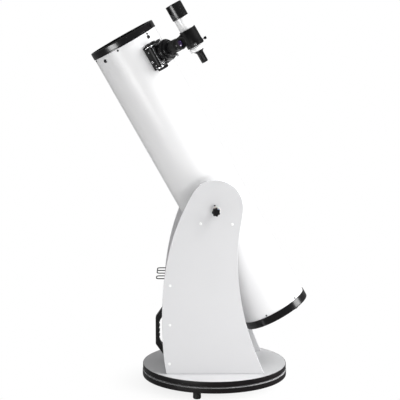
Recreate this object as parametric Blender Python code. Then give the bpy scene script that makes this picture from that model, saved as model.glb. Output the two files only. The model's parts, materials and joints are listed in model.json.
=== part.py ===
"""Dobsonian telescope: a 200 mm f/6 Newtonian tube on a two-axis rocker base.

Metres, +Z up. The origin is on the ground, at the bottom centre of the whole telescope's box
in the rest pose. The front board with its carry handle faces -X, and the altitude pivot runs
along Y. The tube leans towards -X at rest.
"""
from math import asin, cos, pi, radians, sin, sqrt

import bmesh
import bpy
from mathutils import Matrix, Vector

# ---------------------------------------------------------------- driving dimensions
GAP = 0.0003                    # clearance between neighbouring pieces
AZIMUTH_X = 0.04968             # from the origin to the azimuth axis
FOOT_HEIGHT = 0.029
BOARD = 0.018                   # thickness of the two round boards
BOARD_GAP = 0.005               # space between the round boards, filled by the azimuth pads
GROUND_RADIUS = 0.255
TABLE_RADIUS = 0.2537
PANEL_INNER = 0.1415            # half the clear width between the side panels
PANEL = 0.0155                  # thickness of the upright boards
PIVOT_ABOVE_TABLE = 0.5734
PIVOT_X = 0.0028                # from the azimuth axis to the altitude axis
TILT = radians(29.25)           # lean of the tube from vertical at rest

TUBE_RADIUS = 0.1175
TUBE_WALL = 0.0012
TUBE_TOP = 0.6605               # distances along the tube, from the pivot
TUBE_BOTTOM = -0.4440
TOP_RING_HEIGHT = 0.0240
BOTTOM_RING_HEIGHT = 0.0276
RING_RADIUS = 0.1203

FOCUSER_ANGLE = radians(47)     # around the tube, from -Y towards +X
FOCUSER_AT = 0.5545             # distance of the focuser's axis along the tube
FINDER_ANGLE = radians(93)
FINDER_AXIS = 0.2095            # distance of the finder's axis from the tube's axis

GROUND_TOP = FOOT_HEIGHT + BOARD
TABLE_BOTTOM = GROUND_TOP + BOARD_GAP
TABLE_TOP = TABLE_BOTTOM + BOARD
PIVOT_Z = TABLE_TOP + PIVOT_ABOVE_TABLE
BEARING_RADIUS = 0.0602
BEARING_FACE = 0.1385           # outer face of each altitude bearing, from the centre plane
BOLT_RADIUS = 0.004
WHOLE_TURN = 2 * pi

TUBE_FACETS = 56                # facets around the tube, its rings and what seats on it
BOARD_FACETS = 72
FOCUSER_FACETS = 30
FINDER_FACETS = 28
BEARING_FACETS = 36


# ---------------------------------------------------------------- modelling helpers
def clear_scene():
    for old in list(bpy.data.objects):
        bpy.data.objects.remove(old, do_unlink=True)


def material(name, colour, roughness, metallic=0.0):
    mat = bpy.data.materials.new(name)
    mat.use_nodes = True
    shader = mat.node_tree.nodes["Principled BSDF"]
    shader.inputs["Base Color"].default_value = (*colour, 1.0)
    shader.inputs["Roughness"].default_value = roughness
    shader.inputs["Metallic"].default_value = metallic
    return mat


def place(obj, parent, matrix):
    bpy.context.scene.collection.objects.link(obj)
    obj.parent = parent
    obj.matrix_basis = matrix
    return obj


def empty(name, parent=None, matrix=Matrix()):
    return place(bpy.data.objects.new(name, None), parent, matrix)


def solid(name, bm, mat, parent=None, matrix=Matrix(), sharp=35):
    """Turn a closed bmesh into a smooth-shaded object."""
    bmesh.ops.recalc_face_normals(bm, faces=bm.faces)
    mesh = bpy.data.meshes.new(name)
    bm.to_mesh(mesh)
    bm.free()
    mesh.materials.append(mat)
    mesh.shade_smooth()
    mesh.set_sharp_from_angle(angle=radians(sharp))
    return place(bpy.data.objects.new(name, mesh), parent, matrix)


def combine(target, tool, operation):
    """Apply a hidden tool object to the target with a live Boolean."""
    tool.hide_render = True
    tool.display_type = "WIRE"
    step = target.modifiers.new(tool.name, "BOOLEAN")
    step.operation = operation
    step.solver = "EXACT"
    step.object = tool


def cut(target, tool):
    combine(target, tool, "DIFFERENCE")


def add(target, tool):
    combine(target, tool, "UNION")


def loft(rings):
    """Closed solid through rings of points that all hold the same number of points."""
    bm = bmesh.new()
    loops = [[bm.verts.new(point) for point in ring] for ring in rings]
    count = len(loops[0])
    bm.faces.new(loops[0])
    bm.faces.new(loops[-1])
    for lower, upper in zip(loops, loops[1:]):
        for i in range(count):
            j = (i + 1) % count
            bm.faces.new((lower[i], lower[j], upper[j], upper[i]))
    return bm


def prism(outline, low, high):
    """Outline in local X and Y, extruded along Z from low to high."""
    return loft([[(x, y, z) for x, y in outline] for z in (low, high)])


def circle(radius, count, centre=(0.0, 0.0)):
    turn = [WHOLE_TURN * i / count for i in range(count)]
    return [(centre[0] + radius * cos(a), centre[1] + radius * sin(a)) for a in turn]


def turned(profile, segments):
    """Revolve a profile of (radius, height) points about local Z.

    A profile that starts and ends at radius 0 is a full solid, any other one is a ring.
    """
    bm = bmesh.new()
    rings = []
    for radius, height in profile:
        points = [(0.0, 0.0)] if radius == 0 else circle(radius, segments)
        rings.append([bm.verts.new((x, y, height)) for x, y in points])
    pairs = list(zip(rings, rings[1:]))
    if profile[0][0] > 0:
        pairs.append((rings[-1], rings[0]))
    for lower, upper in pairs:
        for i in range(segments):
            j = (i + 1) % segments
            corners = [lower[i % len(lower)], lower[j % len(lower)],
                       upper[j % len(upper)], upper[i % len(upper)]]
            bm.faces.new(list(dict.fromkeys(corners)))
    return bm


def rod(radius, low, high, segments=24):
    return turned([(0, low), (radius, low), (radius, high), (0, high)], segments)


def hollow(inner, outer, low, high, segments):
    return turned([(inner, low), (outer, low), (outer, high), (inner, high)], segments)


def rods(radius, low, high, centres, segments=16):
    """Several separate rods in one bmesh, for cutting a pattern of holes."""
    bm = bmesh.new()
    for centre in centres:
        rings = [[bm.verts.new((x, y, z)) for x, y in circle(radius, segments, centre)]
                 for z in (low, high)]
        bm.faces.new(rings[0])
        bm.faces.new(rings[1])
        for i in range(segments):
            j = (i + 1) % segments
            bm.faces.new((rings[0][i], rings[0][j], rings[1][j], rings[1][i]))
    return bm


def bezier(start, start_handle, end_handle, end, steps):
    """Points of a cubic curve, without its last point."""
    points = []
    for i in range(steps):
        t = i / steps
        weights = ((1 - t) ** 3, 3 * t * (1 - t) ** 2, 3 * t * t * (1 - t), t ** 3)
        corners = (start, start_handle, end_handle, end)
        points.append(tuple(sum(w * c[k] for w, c in zip(weights, corners)) for k in (0, 1)))
    return points


def arc(radius, first, last, steps, centre=(0.0, 0.0)):
    """Points on an arc, angles in radians, both ends included."""
    angles = [first + (last - first) * i / steps for i in range(steps + 1)]
    return [(centre[0] + radius * cos(a), centre[1] + radius * sin(a)) for a in angles]


def axes(x, y, z, origin=(0.0, 0.0, 0.0)):
    """Local-to-parent matrix from three axis directions and an origin."""
    matrix = Matrix((x, y, z)).transposed().to_4x4()
    matrix.translation = origin
    return matrix


def around_tube(angle, along=0.0):
    """Frame inside the tube's frame: Z radial, Y along the tube, X around it."""
    return axes((cos(angle), sin(angle), 0), (0, 0, 1), (sin(angle), -cos(angle), 0),
                (0, 0, along))


def side(sign):
    """Frame whose Z points along world +Y or -Y."""
    return Matrix.Rotation(radians(-90 * sign), 4, "X")


def lobed(radius, depth, lobes, height, per_lobe):
    """Ring of a finger knob, with rounded lobes around its edge."""
    count = lobes * per_lobe
    points = []
    for i in range(count):
        a = WHOLE_TURN * i / count
        r = radius - depth * (0.5 - 0.5 * cos(lobes * a))
        points.append((r * cos(a), r * sin(a), height))
    return points


def ring_at(radius, height, count):
    return [(x, y, height) for x, y in circle(radius, count)]


def thumbscrew(tip, head, end, shaft_radius=0.0016, head_radius=0.0048):
    """Shaft along Z from tip to head, then a knurled head up to end."""
    rim = 0.0008
    return turned([(0, tip), (shaft_radius, tip), (shaft_radius, head),
                   (head_radius - rim, head), (head_radius, head + rim),
                   (head_radius, end - rim), (head_radius - rim, end), (0, end)], 12)


def spokes(hub_radius, half_width, tip_radius, angles, hub_steps=4):
    """Outline of a hub with straight arms that end on the tip radius."""
    outline = []
    root = asin(half_width / hub_radius)
    tip = asin(half_width / tip_radius)
    for k, angle in enumerate(angles):
        outline += arc(tip_radius, angle - tip, angle + tip, 2)
        following = angles[(k + 1) % len(angles)] + (WHOLE_TURN if k + 1 == len(angles) else 0)
        outline += arc(hub_radius, angle + root, following - root, hub_steps)
    return outline


# ---------------------------------------------------------------- ground base
FEET_RADIUS = 0.2236
FEET_ANGLES = [radians(254 + 120 * k) for k in range(3)]
AZIMUTH_BOLT = 0.005


def round_board(name, radius, low, parent, mat):
    hole = AZIMUTH_BOLT + 2 * GAP
    disc = hollow(hole, radius - 0.0016, low, low + BOARD, BOARD_FACETS)
    solid(name, disc, mat, parent)


def edge_band(name, radius, low, parent, mat):
    """Thin plastic strip around a round board."""
    strip = hollow(radius - 0.0013, radius, low, low + BOARD, BOARD_FACETS)
    solid(name, strip, mat, parent)


def build_ground_base(base, mats):
    round_board("ground_board", GROUND_RADIUS, FOOT_HEIGHT, base, mats["laminate"])
    edge_band("ground_edge_band", GROUND_RADIUS, FOOT_HEIGHT, base, mats["black"])
    foot = [(0, 0), (0.010, 0), (0.0130, 0.0015), (0.014, 0.005), (0.0135, 0.020),
            (0.0145, FOOT_HEIGHT - GAP), (0, FOOT_HEIGHT - GAP)]
    for number, angle in enumerate(FEET_ANGLES, 1):
        spot = Matrix.Translation((FEET_RADIUS * cos(angle), FEET_RADIUS * sin(angle), 0))
        solid(f"foot_{number}", turned(foot, 20), mats["black"], base, spot)
        pad = rod(0.016, GROUND_TOP + GAP, TABLE_BOTTOM - GAP, 16)
        inward = Matrix.Translation((0.19 * cos(angle), 0.19 * sin(angle), 0))
        solid(f"azimuth_pad_{number}", pad, mats["nylon"], base, inward)
    head, end = FOOT_HEIGHT - GAP, TABLE_TOP + 0.014
    bolt = turned([(0, head - 0.0064), (0.0085, head - 0.0064), (0.0085, head),
                   (AZIMUTH_BOLT, head), (AZIMUTH_BOLT, end), (0, end)], 12)
    solid("azimuth_bolt", bolt, mats["steel"], base)
    nut = hollow(AZIMUTH_BOLT + GAP, 0.0085, TABLE_TOP + GAP, TABLE_TOP + 0.0085, 12)
    solid("azimuth_nut", nut, mats["steel"], base)


# ---------------------------------------------------------------- rocker
STUD_REACH = (0.0538, -0.0470)   # stud centres from the pivot, before and behind it
STUD_RADIUS = 0.0105
TENSION_HOLE = 0.006
FRONT_FACE = -0.163             # outer face of the front board
FRONT_TOP = TABLE_TOP + 0.348


def panel_outline():
    """Side panel outline in X and height above the table board."""
    top_centre, top_radius = (0.001, 0.5835), 0.095
    crown = (top_centre[0], top_centre[1] + top_radius)
    shoulder = (top_centre[0] + top_radius, top_centre[1])
    outline = bezier((-0.167, GAP), (-0.175, 0.040), (-0.182, 0.090), (-0.182, 0.200), 4)
    outline += bezier((-0.182, 0.200), (-0.182, 0.320), (-0.1634, 0.450), (-0.114, 0.559), 9)
    outline += bezier((-0.114, 0.559), (-0.0756, 0.643), (-0.057, crown[1]), crown, 8)
    outline += arc(top_radius, pi / 2, 0, 9, top_centre)[:-1]
    outline += bezier(shoulder, (shoulder[0], 0.548), (0.0772, 0.490), (0.0772, 0.418), 7)
    outline += bezier((0.0772, 0.418), (0.0772, 0.240), (0.1195, 0.1205), (0.1705, GAP), 8)
    return outline + [(0.1705, GAP)]


def build_rocker(rocker, mats):
    white = mats["laminate"]
    for label, sign in (("left", -1), ("right", 1)):
        outline = [(x, TABLE_TOP + z) for x, z in panel_outline()]
        inner, outer = PANEL_INNER, PANEL_INNER + PANEL
        low, high = (-outer, -inner) if sign > 0 else (inner, outer)
        panel = solid(f"side_panel_{label}", prism(outline, low, high), white, rocker, side(-1))
        hole = rods(TENSION_HOLE, low - 0.01, high + 0.01, [(PIVOT_X, PIVOT_Z)])
        cut(panel, solid(f"cutter_tension_{label}", hole, white, rocker, side(-1)))
        for place_name, direction in (("front", -1), ("rear", 1)):
            spot = Matrix.Translation((PIVOT_X + direction * STUD_REACH[0], 0,
                                       PIVOT_Z + STUD_REACH[1]))
            stud = turned([(0, 0.1205), (STUD_RADIUS - 0.001, 0.1205), (STUD_RADIUS, 0.1215),
                           (STUD_RADIUS, inner - GAP), (0, inner - GAP)], 24)
            solid(f"bearing_stud_{label}_{place_name}", stud, mats["nylon"], rocker,
                  spot @ side(sign))
    half = PANEL_INNER - GAP
    board = [(FRONT_FACE, TABLE_TOP + GAP), (FRONT_FACE + PANEL, TABLE_TOP + GAP),
             (FRONT_FACE + PANEL, FRONT_TOP), (FRONT_FACE, FRONT_TOP)]
    solid("front_board", prism(board, -half, half), white, rocker, side(-1))
    round_board("table_board", TABLE_RADIUS, TABLE_BOTTOM, rocker, mats["laminate"])
    edge_band("table_edge_band", TABLE_RADIUS, TABLE_BOTTOM, rocker, mats["black"])
    build_handle(rocker, mats["black"])
    build_rack(rocker, mats["steel"])


def build_handle(rocker, mat):
    """Moulded carry handle: a straight grip with finger waves between two sloping legs."""
    back = FRONT_FACE - GAP
    grip_out, grip_in, wave = -0.208, -0.195, 0.0022
    outline = [(back, TABLE_TOP + 0.231), (grip_out, TABLE_TOP + 0.1655),
               (grip_out, TABLE_TOP + 0.0695), (back, TABLE_TOP + 0.0065),
               (back, TABLE_TOP + 0.038)]
    low, high, steps = TABLE_TOP + 0.080, TABLE_TOP + 0.154, 24
    for i in range(steps + 1):
        t = i / steps
        outline.append((grip_in + wave * cos(4 * WHOLE_TURN * t), low + (high - low) * t))
    outline.append((back, TABLE_TOP + 0.204))
    handle = solid("carry_handle", prism(outline, -0.014, 0.014), mat, rocker, side(-1))
    soften(handle, 0.003)


def soften(obj, width):
    bevel = obj.modifiers.new("soft_edges", "BEVEL")
    bevel.width = width
    bevel.segments = 2
    bevel.limit_method = "ANGLE"
    bevel.angle_limit = radians(50)


def build_rack(rocker, mat):
    """Eyepiece rack: a flat strip on the front board with three bent-wire loops."""
    level = TABLE_TOP + 0.3225
    pitch, wire, reach = 0.044, 0.0018, 0.038
    back = FRONT_FACE - GAP
    strip = [(back, level - 0.007), (back, level + 0.007),
             (back - 0.002, level + 0.007), (back - 0.002, level - 0.007)]
    rack = solid("eyepiece_rack", prism(strip, -0.094, 0.094), mat, rocker, side(-1))
    for number, (first, last) in enumerate(((-2, -1), (0, 2)), 1):
        loop = wire_loop(first * pitch, last * pitch, back - 0.001, reach, wire, level)
        add(rack, solid(f"guide_loop_{number}", loop, mat, rocker))
    bar = rod(wire, 0.001, reach - wire, 8)
    outward = axes((0, 0, 1), (0, 1, 0), (-1, 0, 0), (back, pitch, level))
    add(rack, solid("guide_bar", bar, mat, rocker, outward))


def wire_loop(near, far, back, reach, wire, level):
    """U-shaped wire that lies flat and bulges towards -X."""
    bend = 0.010
    corner_near = arc(bend, -pi / 2, -pi, 4, (back - reach + bend, near + bend))
    corner_far = arc(bend, pi, pi / 2, 4, (back - reach + bend, far - bend))
    path = [(back, near)] + corner_near + corner_far + [(back, far)]
    rings = []
    for i, point in enumerate(path):
        before = Vector(path[max(i - 1, 0)])
        after = Vector(path[min(i + 1, len(path) - 1)])
        forward = (after - before).normalized()
        across = Vector((-forward.y, forward.x))
        rings.append([(point[0] + across.x * x, point[1] + across.y * x, level + z)
                      for x, z in circle(wire, 8)])
    return loft(rings)


# ---------------------------------------------------------------- optical tube
def build_tube(tube, mats):
    shell = hollow(TUBE_RADIUS - TUBE_WALL, TUBE_RADIUS, TUBE_BOTTOM, TUBE_TOP, TUBE_FACETS)
    body = solid("optical_tube", shell, mats["tube_paint"], tube)
    focuser = around_tube(FOCUSER_ANGLE, FOCUSER_AT)
    opening = rod(0.0305, 0.09, 0.14, 32)
    cut(body, solid("cutter_tube_opening", opening, mats["tube_paint"], tube, focuser))

    skirt, lip = TUBE_RADIUS + 0.0004, 0.1125
    foot, top = 0.6392, 0.6392 + TOP_RING_HEIGHT
    profile = [(skirt, foot), (RING_RADIUS, foot)]
    profile += arc(0.006, 0, pi / 2, 2, (RING_RADIUS - 0.006, top - 0.006))
    profile += [(lip, top), (lip, TUBE_TOP + 0.0004), (skirt, TUBE_TOP + 0.0004)]
    solid("top_end_ring", turned(profile, TUBE_FACETS), mats["black"], tube)

    foot, top = -0.4189, -0.4189 - BOTTOM_RING_HEIGHT
    profile = [(skirt, foot), (RING_RADIUS, foot)]
    profile += arc(0.003, 0, -pi / 2, 1, (RING_RADIUS - 0.003, top + 0.003))
    profile += [(lip, top), (lip, TUBE_BOTTOM - 0.0004), (skirt, TUBE_BOTTOM - 0.0004)]
    solid("bottom_end_ring", turned(profile, TUBE_FACETS), mats["black"], tube)

    for label, sign in (("left", -1), ("right", 1)):
        disc = turned([(BOLT_RADIUS + 0.0006, 0.100), (BEARING_RADIUS, 0.100),
                       (BEARING_RADIUS, BEARING_FACE - 0.001),
                       (BEARING_RADIUS - 0.001, BEARING_FACE),
                       (BOLT_RADIUS + 0.0006, BEARING_FACE)], BEARING_FACETS)
        bearing = solid(f"altitude_bearing_{label}", disc, mats["black"], tube, side(sign))
        fit_to_tube(bearing, tube, mats["black"])


def fit_to_tube(obj, tube, mat, radius=TUBE_RADIUS + 0.0006):
    """Shape the underside of a piece to the round of the tube."""
    tool = rod(radius, FOCUSER_AT - 0.8, FOCUSER_AT + 0.2, TUBE_FACETS)
    cut(obj, solid(f"cutter_seat_{obj.name}", tool, mat, tube))


VANE_ANGLES = [FOCUSER_ANGLE - pi / 2 + k * pi / 2 for k in range(4)]


def build_spider(tube, secondary, mats):
    hub = spokes(0.0125, 0.0005, 0.1155, VANE_ANGLES)
    spider = solid("spider", prism(hub, 0.6118, 0.6318), mats["black"], tube)
    cut(spider, solid("cutter_hub", rod(0.0044, 0.605, 0.64, 16), mats["black"], tube))

    # The flat faces both the primary mirror below it and the focuser beside it.
    toward = Vector((sin(FOCUSER_ANGLE), -cos(FOCUSER_ANGLE)))
    glass_thickness, count = 0.006, 36

    def slanted(radius, lift):
        return [(x, y, FOCUSER_AT + toward.dot((x, y)) + lift)
                for x, y in circle(radius, count)]

    back = glass_thickness * sqrt(2)
    glass = loft([slanted(0.025, 0), slanted(0.025, back)])
    solid("secondary_mirror", glass, mats["mirror"], secondary)
    shoulder, stem = 0.5925, 0.004
    holder = loft([slanted(0.0235, back + 2 * GAP), ring_at(0.0235, shoulder, count),
                   ring_at(stem, shoulder + 0.001, count), ring_at(stem, 0.641, count)])
    solid("secondary_holder", holder, mats["black"], secondary)


# ---------------------------------------------------------------- primary mirror and cell
KNOB_CIRCLE = 0.075             # radius of the circle of collimation knobs
KNOB_ANGLES = [radians(90 + 120 * k) for k in range(3)]
FRAME_LOW, FRAME_HIGH = -0.4405, -0.4325
PLATE_LOW, PLATE_HIGH = -0.4215, -0.4155
MIRROR_RADIUS, MIRROR_BACK, MIRROR_FRONT = 0.1015, -0.4152, -0.3912
FOCAL_LENGTH = 1.2


def build_mirror(tube, mirror, mats):
    centres = [(KNOB_CIRCLE * cos(a), KNOB_CIRCLE * sin(a)) for a in KNOB_ANGLES]
    frame_outline = spokes(0.034, 0.013, 0.1155, KNOB_ANGLES)
    frame = solid("mirror_cell_frame", prism(frame_outline, FRAME_LOW, FRAME_HIGH),
                  mats["black"], tube)
    holes = rods(0.0037, FRAME_LOW - 0.01, FRAME_HIGH + 0.005, centres)
    cut(frame, solid("cutter_frame_holes", holes, mats["black"], tube))

    plate_outline = spokes(0.045, 0.016, 0.1045, KNOB_ANGLES)
    plate = solid("mirror_support_plate", prism(plate_outline, PLATE_LOW, PLATE_HIGH),
                  mats["black"], mirror)
    for number, angle in enumerate(KNOB_ANGLES, 1):
        inner, outer, over = MIRROR_RADIUS + 0.0005, 0.1044, MIRROR_RADIUS - 0.004
        cap = MIRROR_FRONT + 0.0004
        clip = [(outer, PLATE_LOW + 0.002), (outer, cap + 0.002), (over, cap + 0.002),
                (over, cap), (inner, cap), (inner, PLATE_LOW + 0.002)]
        turn = Matrix.Rotation(angle, 4, "Z") @ side(-1)
        add(plate, solid(f"guide_clip_{number}", prism(clip, -0.007, 0.007), mats["black"],
                         mirror, turn))
    holes = rods(0.0037, PLATE_LOW - 0.005, PLATE_HIGH + 0.005, centres)
    cut(plate, solid("cutter_plate_holes", holes, mats["black"], mirror))

    dish = [(r, MIRROR_FRONT - (MIRROR_RADIUS ** 2 - r * r) / (4 * FOCAL_LENGTH))
            for r in (MIRROR_RADIUS, 0.07, 0.035, 0)]
    glass = turned([(0, MIRROR_BACK), (MIRROR_RADIUS, MIRROR_BACK)] + dish, BEARING_FACETS)
    solid("primary_mirror", glass, mats["mirror"], mirror)

    for number, centre in enumerate(centres, 1):
        top = FRAME_LOW - GAP
        lobes, per_lobe = 6, 4
        count = lobes * per_lobe
        knob = loft([lobed(0.0100, 0.0015, lobes, top - 0.0190, per_lobe),
                     lobed(0.0110, 0.0015, lobes, top - 0.0175, per_lobe),
                     lobed(0.0110, 0.0015, lobes, top - 0.0040, per_lobe),
                     ring_at(0.007, top, count),
                     ring_at(0.003, top, count), ring_at(0.003, -0.4175, count)])
        pivot = empty(f"axis_collimation_{number}", tube, Matrix.Translation((*centre, 0)))
        solid(f"collimation_knob_{number}", knob, mats["black"], pivot)


# ---------------------------------------------------------------- tension knobs
def build_tension(tube, mats):
    outer = PANEL_INNER + PANEL
    washer_low, washer_high = outer + GAP, outer + 0.0032
    boss, head, end = washer_high + GAP, outer + 0.013, outer + 0.035
    lobes, per_lobe = 7, 4
    count = lobes * per_lobe
    for label, sign in (("left", -1), ("right", 1)):
        pivot = empty(f"axis_tension_{label}", tube, side(sign))
        knob = loft([ring_at(BOLT_RADIUS, 0.1195, count), ring_at(BOLT_RADIUS, boss, count),
                     ring_at(0.0095, boss, count), ring_at(0.0085, head, count),
                     lobed(0.0142, 0.002, lobes, head + 0.001, per_lobe),
                     lobed(0.0146, 0.002, lobes, end - 0.003, per_lobe),
                     lobed(0.0122, 0.0015, lobes, end, per_lobe)])
        solid(f"tension_knob_{label}", knob, mats["black"], pivot)
        washer = hollow(BOLT_RADIUS + 0.0004, 0.017, washer_low, washer_high, 28)
        solid(f"tension_washer_{label}", washer, mats["nylon"], pivot)


# ---------------------------------------------------------------- focuser
AXLE_RADIUS = 0.003
DRAWTUBE_RADIUS = 0.0275
AXLE_X = -(DRAWTUBE_RADIUS + AXLE_RADIUS + GAP)   # beside the drawtube
AXLE_Z = 0.140                  # distance of the focus axle from the tube's axis
KNOB_RADIUS = 0.0188
SADDLE_TOP = 0.1235
BODY_TOP = 0.149


def build_focuser(tube, mats):
    black, steel = mats["black"], mats["steel"]
    focuser = empty("axis_focuser", tube, around_tube(FOCUSER_ANGLE, FOCUSER_AT))
    half_angle = radians(21.4)
    outline = arc(TUBE_RADIUS + 0.0005, pi / 2 - half_angle, pi / 2 + half_angle, 12)
    outline += arc(SADDLE_TOP, pi / 2 + half_angle, pi / 2 - half_angle, 12)
    saddle = solid("focuser_base", prism(outline, -0.043, 0.043), black, focuser, side(-1))
    cut(saddle, solid("cutter_saddle", rod(0.0305, 0.09, 0.14, 32), black, focuser))

    housing = solid("focuser_body", rod(0.0345, 0.113, BODY_TOP, FOCUSER_FACETS), black, focuser)
    block = [(-0.047, 0.113), (-0.015, 0.113), (-0.015, BODY_TOP - 0.0005),
             (-0.041, BODY_TOP - 0.0005), (-0.047, BODY_TOP - 0.006)]
    add(housing, solid("guide_pinion_block", prism(block, -0.034, 0.034), black, focuser,
                       side(-1)))
    fit_to_tube(housing, tube, black, SADDLE_TOP + 0.0006)
    cut(housing, solid("cutter_bore", rod(0.0283, 0.09, 0.17, FOCUSER_FACETS), black, focuser))
    along = axes((1, 0, 0), (0, 0, -1), (0, 1, 0), (AXLE_X, 0, AXLE_Z))
    channel = rod(AXLE_RADIUS + 0.0006, -0.04, 0.04, 16)
    cut(housing, solid("cutter_axle", channel, black, focuser, along))

    lock = axes((0, 1, 0), (0, 0, 1), (1, 0, 0), (0, -0.012, 0.131)) @ side_flip()
    cut(housing, solid("cutter_lock", rod(0.0022, 0.02, 0.06, 12), black, focuser, lock))
    pivot = empty("axis_focus_lock", focuser, lock)
    solid("focus_lock_screw", thumbscrew(0.0256, 0.0476, 0.0560), steel, pivot)

    axle = empty("axis_focus_axle", focuser, along)
    solid("focus_axle", rod(AXLE_RADIUS, -0.049, 0.049, 16), steel, axle)
    for label, sign in (("upper", 1), ("lower", -1)):
        near, far = 0.037, 0.050
        profile = [(AXLE_RADIUS + GAP, near), (0.0165, near), (KNOB_RADIUS, near + 0.0015),
                   (KNOB_RADIUS, far - 0.0015), (0.0165, far), (AXLE_RADIUS + GAP, far)]
        facing = Matrix.Rotation(0 if sign > 0 else pi, 4, "X")
        solid(f"focus_knob_{label}", turned(profile, FINDER_FACETS), black, axle, facing)
    build_drawtube(focuser, mats)


def side_flip():
    return Matrix.Rotation(pi, 4, "X")


COLLAR_LOW, COLLAR_HIGH = 0.158, 0.174
COLLAR_RADIUS = 0.0375


def radial(angle, height):
    """Frame beside an upright axis: Z points away from it at the angle, Y along it."""
    outward = Vector((cos(angle), sin(angle), 0))
    up = Vector((0, 0, 1))
    return axes(up.cross(outward), up, outward, (0, 0, height))


def build_drawtube(focuser, mats):
    black = mats["black"]
    draw = empty("axis_drawtube", focuser)
    bore = 0.0257
    tube = turned([(bore, 0.095), (DRAWTUBE_RADIUS, 0.095), (DRAWTUBE_RADIUS, COLLAR_LOW),
                   (0.0355, COLLAR_LOW), (COLLAR_RADIUS, COLLAR_LOW + 0.002),
                   (COLLAR_RADIUS, COLLAR_HIGH - 0.004), (0.0350, COLLAR_HIGH - 0.001),
                   (0.0320, COLLAR_HIGH), (bore, COLLAR_HIGH)], FOCUSER_FACETS)
    drawtube = solid("drawtube", tube, black, draw)
    clamp = radial(radians(215), 0.1645)
    cut(drawtube, solid("cutter_clamp", rod(0.0022, 0.02, 0.05, 12), black, draw, clamp))
    solid("drawtube_lock_screw", thumbscrew(0.0262, 0.0430, 0.0540), mats["steel"],
          empty("axis_drawtube_lock", draw, clamp))

    seat, flange_top, barrel_bore = COLLAR_HIGH + GAP, 0.1845, 0.0163
    sleeve = turned([(barrel_bore, 0.150), (0.0253, 0.150), (0.0253, seat), (0.0295, seat),
                     (0.0300, seat + 0.002), (0.0300, flange_top - 0.002),
                     (0.0280, flange_top), (barrel_bore, flange_top)],
                    FOCUSER_FACETS)
    adapter = solid("eyepiece_adapter", sleeve, black, draw)
    clamp = radial(radians(300), 0.1795)
    cut(adapter, solid("cutter_adapter", rod(0.0022, 0.01, 0.05, 12), black, draw, clamp))
    solid("eyepiece_lock_screw", thumbscrew(0.0168, 0.0320, 0.0400), mats["steel"],
          empty("axis_eyepiece_lock", draw, clamp))

    base, crown = flange_top + GAP, 0.2360
    barrel = turned([(0, 0.160), (0.0158, 0.160), (0.0158, base), (0.0195, base),
                     (0.0205, base + 0.002), (0.0205, base + 0.012), (0.0220, base + 0.014),
                     (0.0220, crown - 0.012), (0.0205, crown), (0.0115, crown),
                     (0.0115, crown - 0.003), (0, crown - 0.003)], FINDER_FACETS)
    eyepiece = empty("axis_eyepiece", draw)
    solid("eyepiece_barrel", barrel, black, eyepiece)
    cup = turned([(0.0125, crown + GAP), (0.0205, crown + GAP), (0.0222, crown + 0.003),
                  (0.0200, crown + 0.010), (0.0180, crown + 0.010), (0.0140, crown + 0.004)],
                 FINDER_FACETS)
    solid("eyepiece_eyecup", cup, mats["rubber"], eyepiece)


# ---------------------------------------------------------------- finder
SHOE_AT = 0.5475
BRACKET_LOW, BRACKET_HIGH = 0.5115, 0.5755
BRACKET_RADIUS, BRACKET_BORE = 0.0300, 0.0277
FINDER_RADIUS = 0.0254
SCREW_AT = 0.5195


def build_finder(tube, mats):
    black, white, steel = mats["black"], mats["tube_paint"], mats["steel"]
    mount = empty("axis_finder_mount", tube, around_tube(FINDER_ANGLE, SHOE_AT))
    rail, floor, rail_top = 0.016, 0.1235, 0.1305
    shoe = [(-rail, 0.112), (rail, 0.112), (rail, rail_top), (0.0095, rail_top),
            (0.0125, floor), (-0.0125, floor), (-0.0095, rail_top), (-rail, rail_top)]
    base = solid("finder_shoe", prism(shoe, -0.021, 0.021), black, mount, side(-1))
    fit_to_tube(base, tube, black)

    # Frame with Z along the finder's axis, X away from the tube and origin level with the pivot.
    out = Vector((sin(FINDER_ANGLE), -cos(FINDER_ANGLE), 0))
    finder_frame = axes(out, Vector((0, 0, 1)).cross(out), (0, 0, 1), out * FINDER_AXIS)
    axis = empty("axis_finder", tube, finder_frame)
    build_bracket(mount, axis, mats)

    shell = hollow(FINDER_RADIUS - 0.0012, FINDER_RADIUS, 0.5088, 0.6201, FINDER_FACETS)
    solid("finder_tube", shell, white, axis)
    ring = turned([(0.0128, 0.4937), (0.0264, 0.4937), (0.0280, 0.4950), (0.0280, 0.5070),
                   (0.0264, 0.5084), (0.0128, 0.5084)], FINDER_FACETS)
    solid("finder_rear_ring", ring, white, axis)
    cap = turned([(0, 0.6085), (0.0236, 0.6085), (0.0236, 0.6205), (0.0290, 0.6205),
                  (0.0290, 0.6740), (0.0268, 0.6740), (0.0268, 0.6450), (0, 0.6450)],
                 FINDER_FACETS)
    solid("finder_dew_cap", cap, black, axis)
    eyepiece = turned([(0, 0.5075), (0.0122, 0.5075), (0.0122, 0.4933), (0.0172, 0.4931),
                       (0.0172, 0.4895), (0.0132, 0.4870), (0.0119, 0.4845),
                       (0.0119, 0.4480), (0.0109, 0.4470), (0.0085, 0.4470),
                       (0.0070, 0.4500), (0, 0.4500)], 20)
    solid("finder_eyepiece", eyepiece, black, axis)

    screws = (("finder_screw_outer", 0, steel), ("finder_screw_side", -90, steel))
    for name, angle, mat in screws:
        pivot = empty(f"axis_{name}", axis, finder_radial(radians(angle)))
        solid(name, thumbscrew(0.0271, 0.0360, 0.0450), mat, pivot)
    pivot = empty("axis_finder_plunger", axis, finder_radial(radians(135)))
    pin = turned([(0, 0.0260), (0.0016, 0.0260), (0.0016, 0.0334), (0.0040, 0.0334),
                  (0.0040, 0.0404), (0.0030, 0.0414), (0, 0.0414)], 12)
    solid("finder_plunger", pin, steel, pivot)


def finder_radial(angle):
    """Frame inside the finder's frame: Z radial at the angle, level with the screws."""
    return radial(angle, SCREW_AT)


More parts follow.
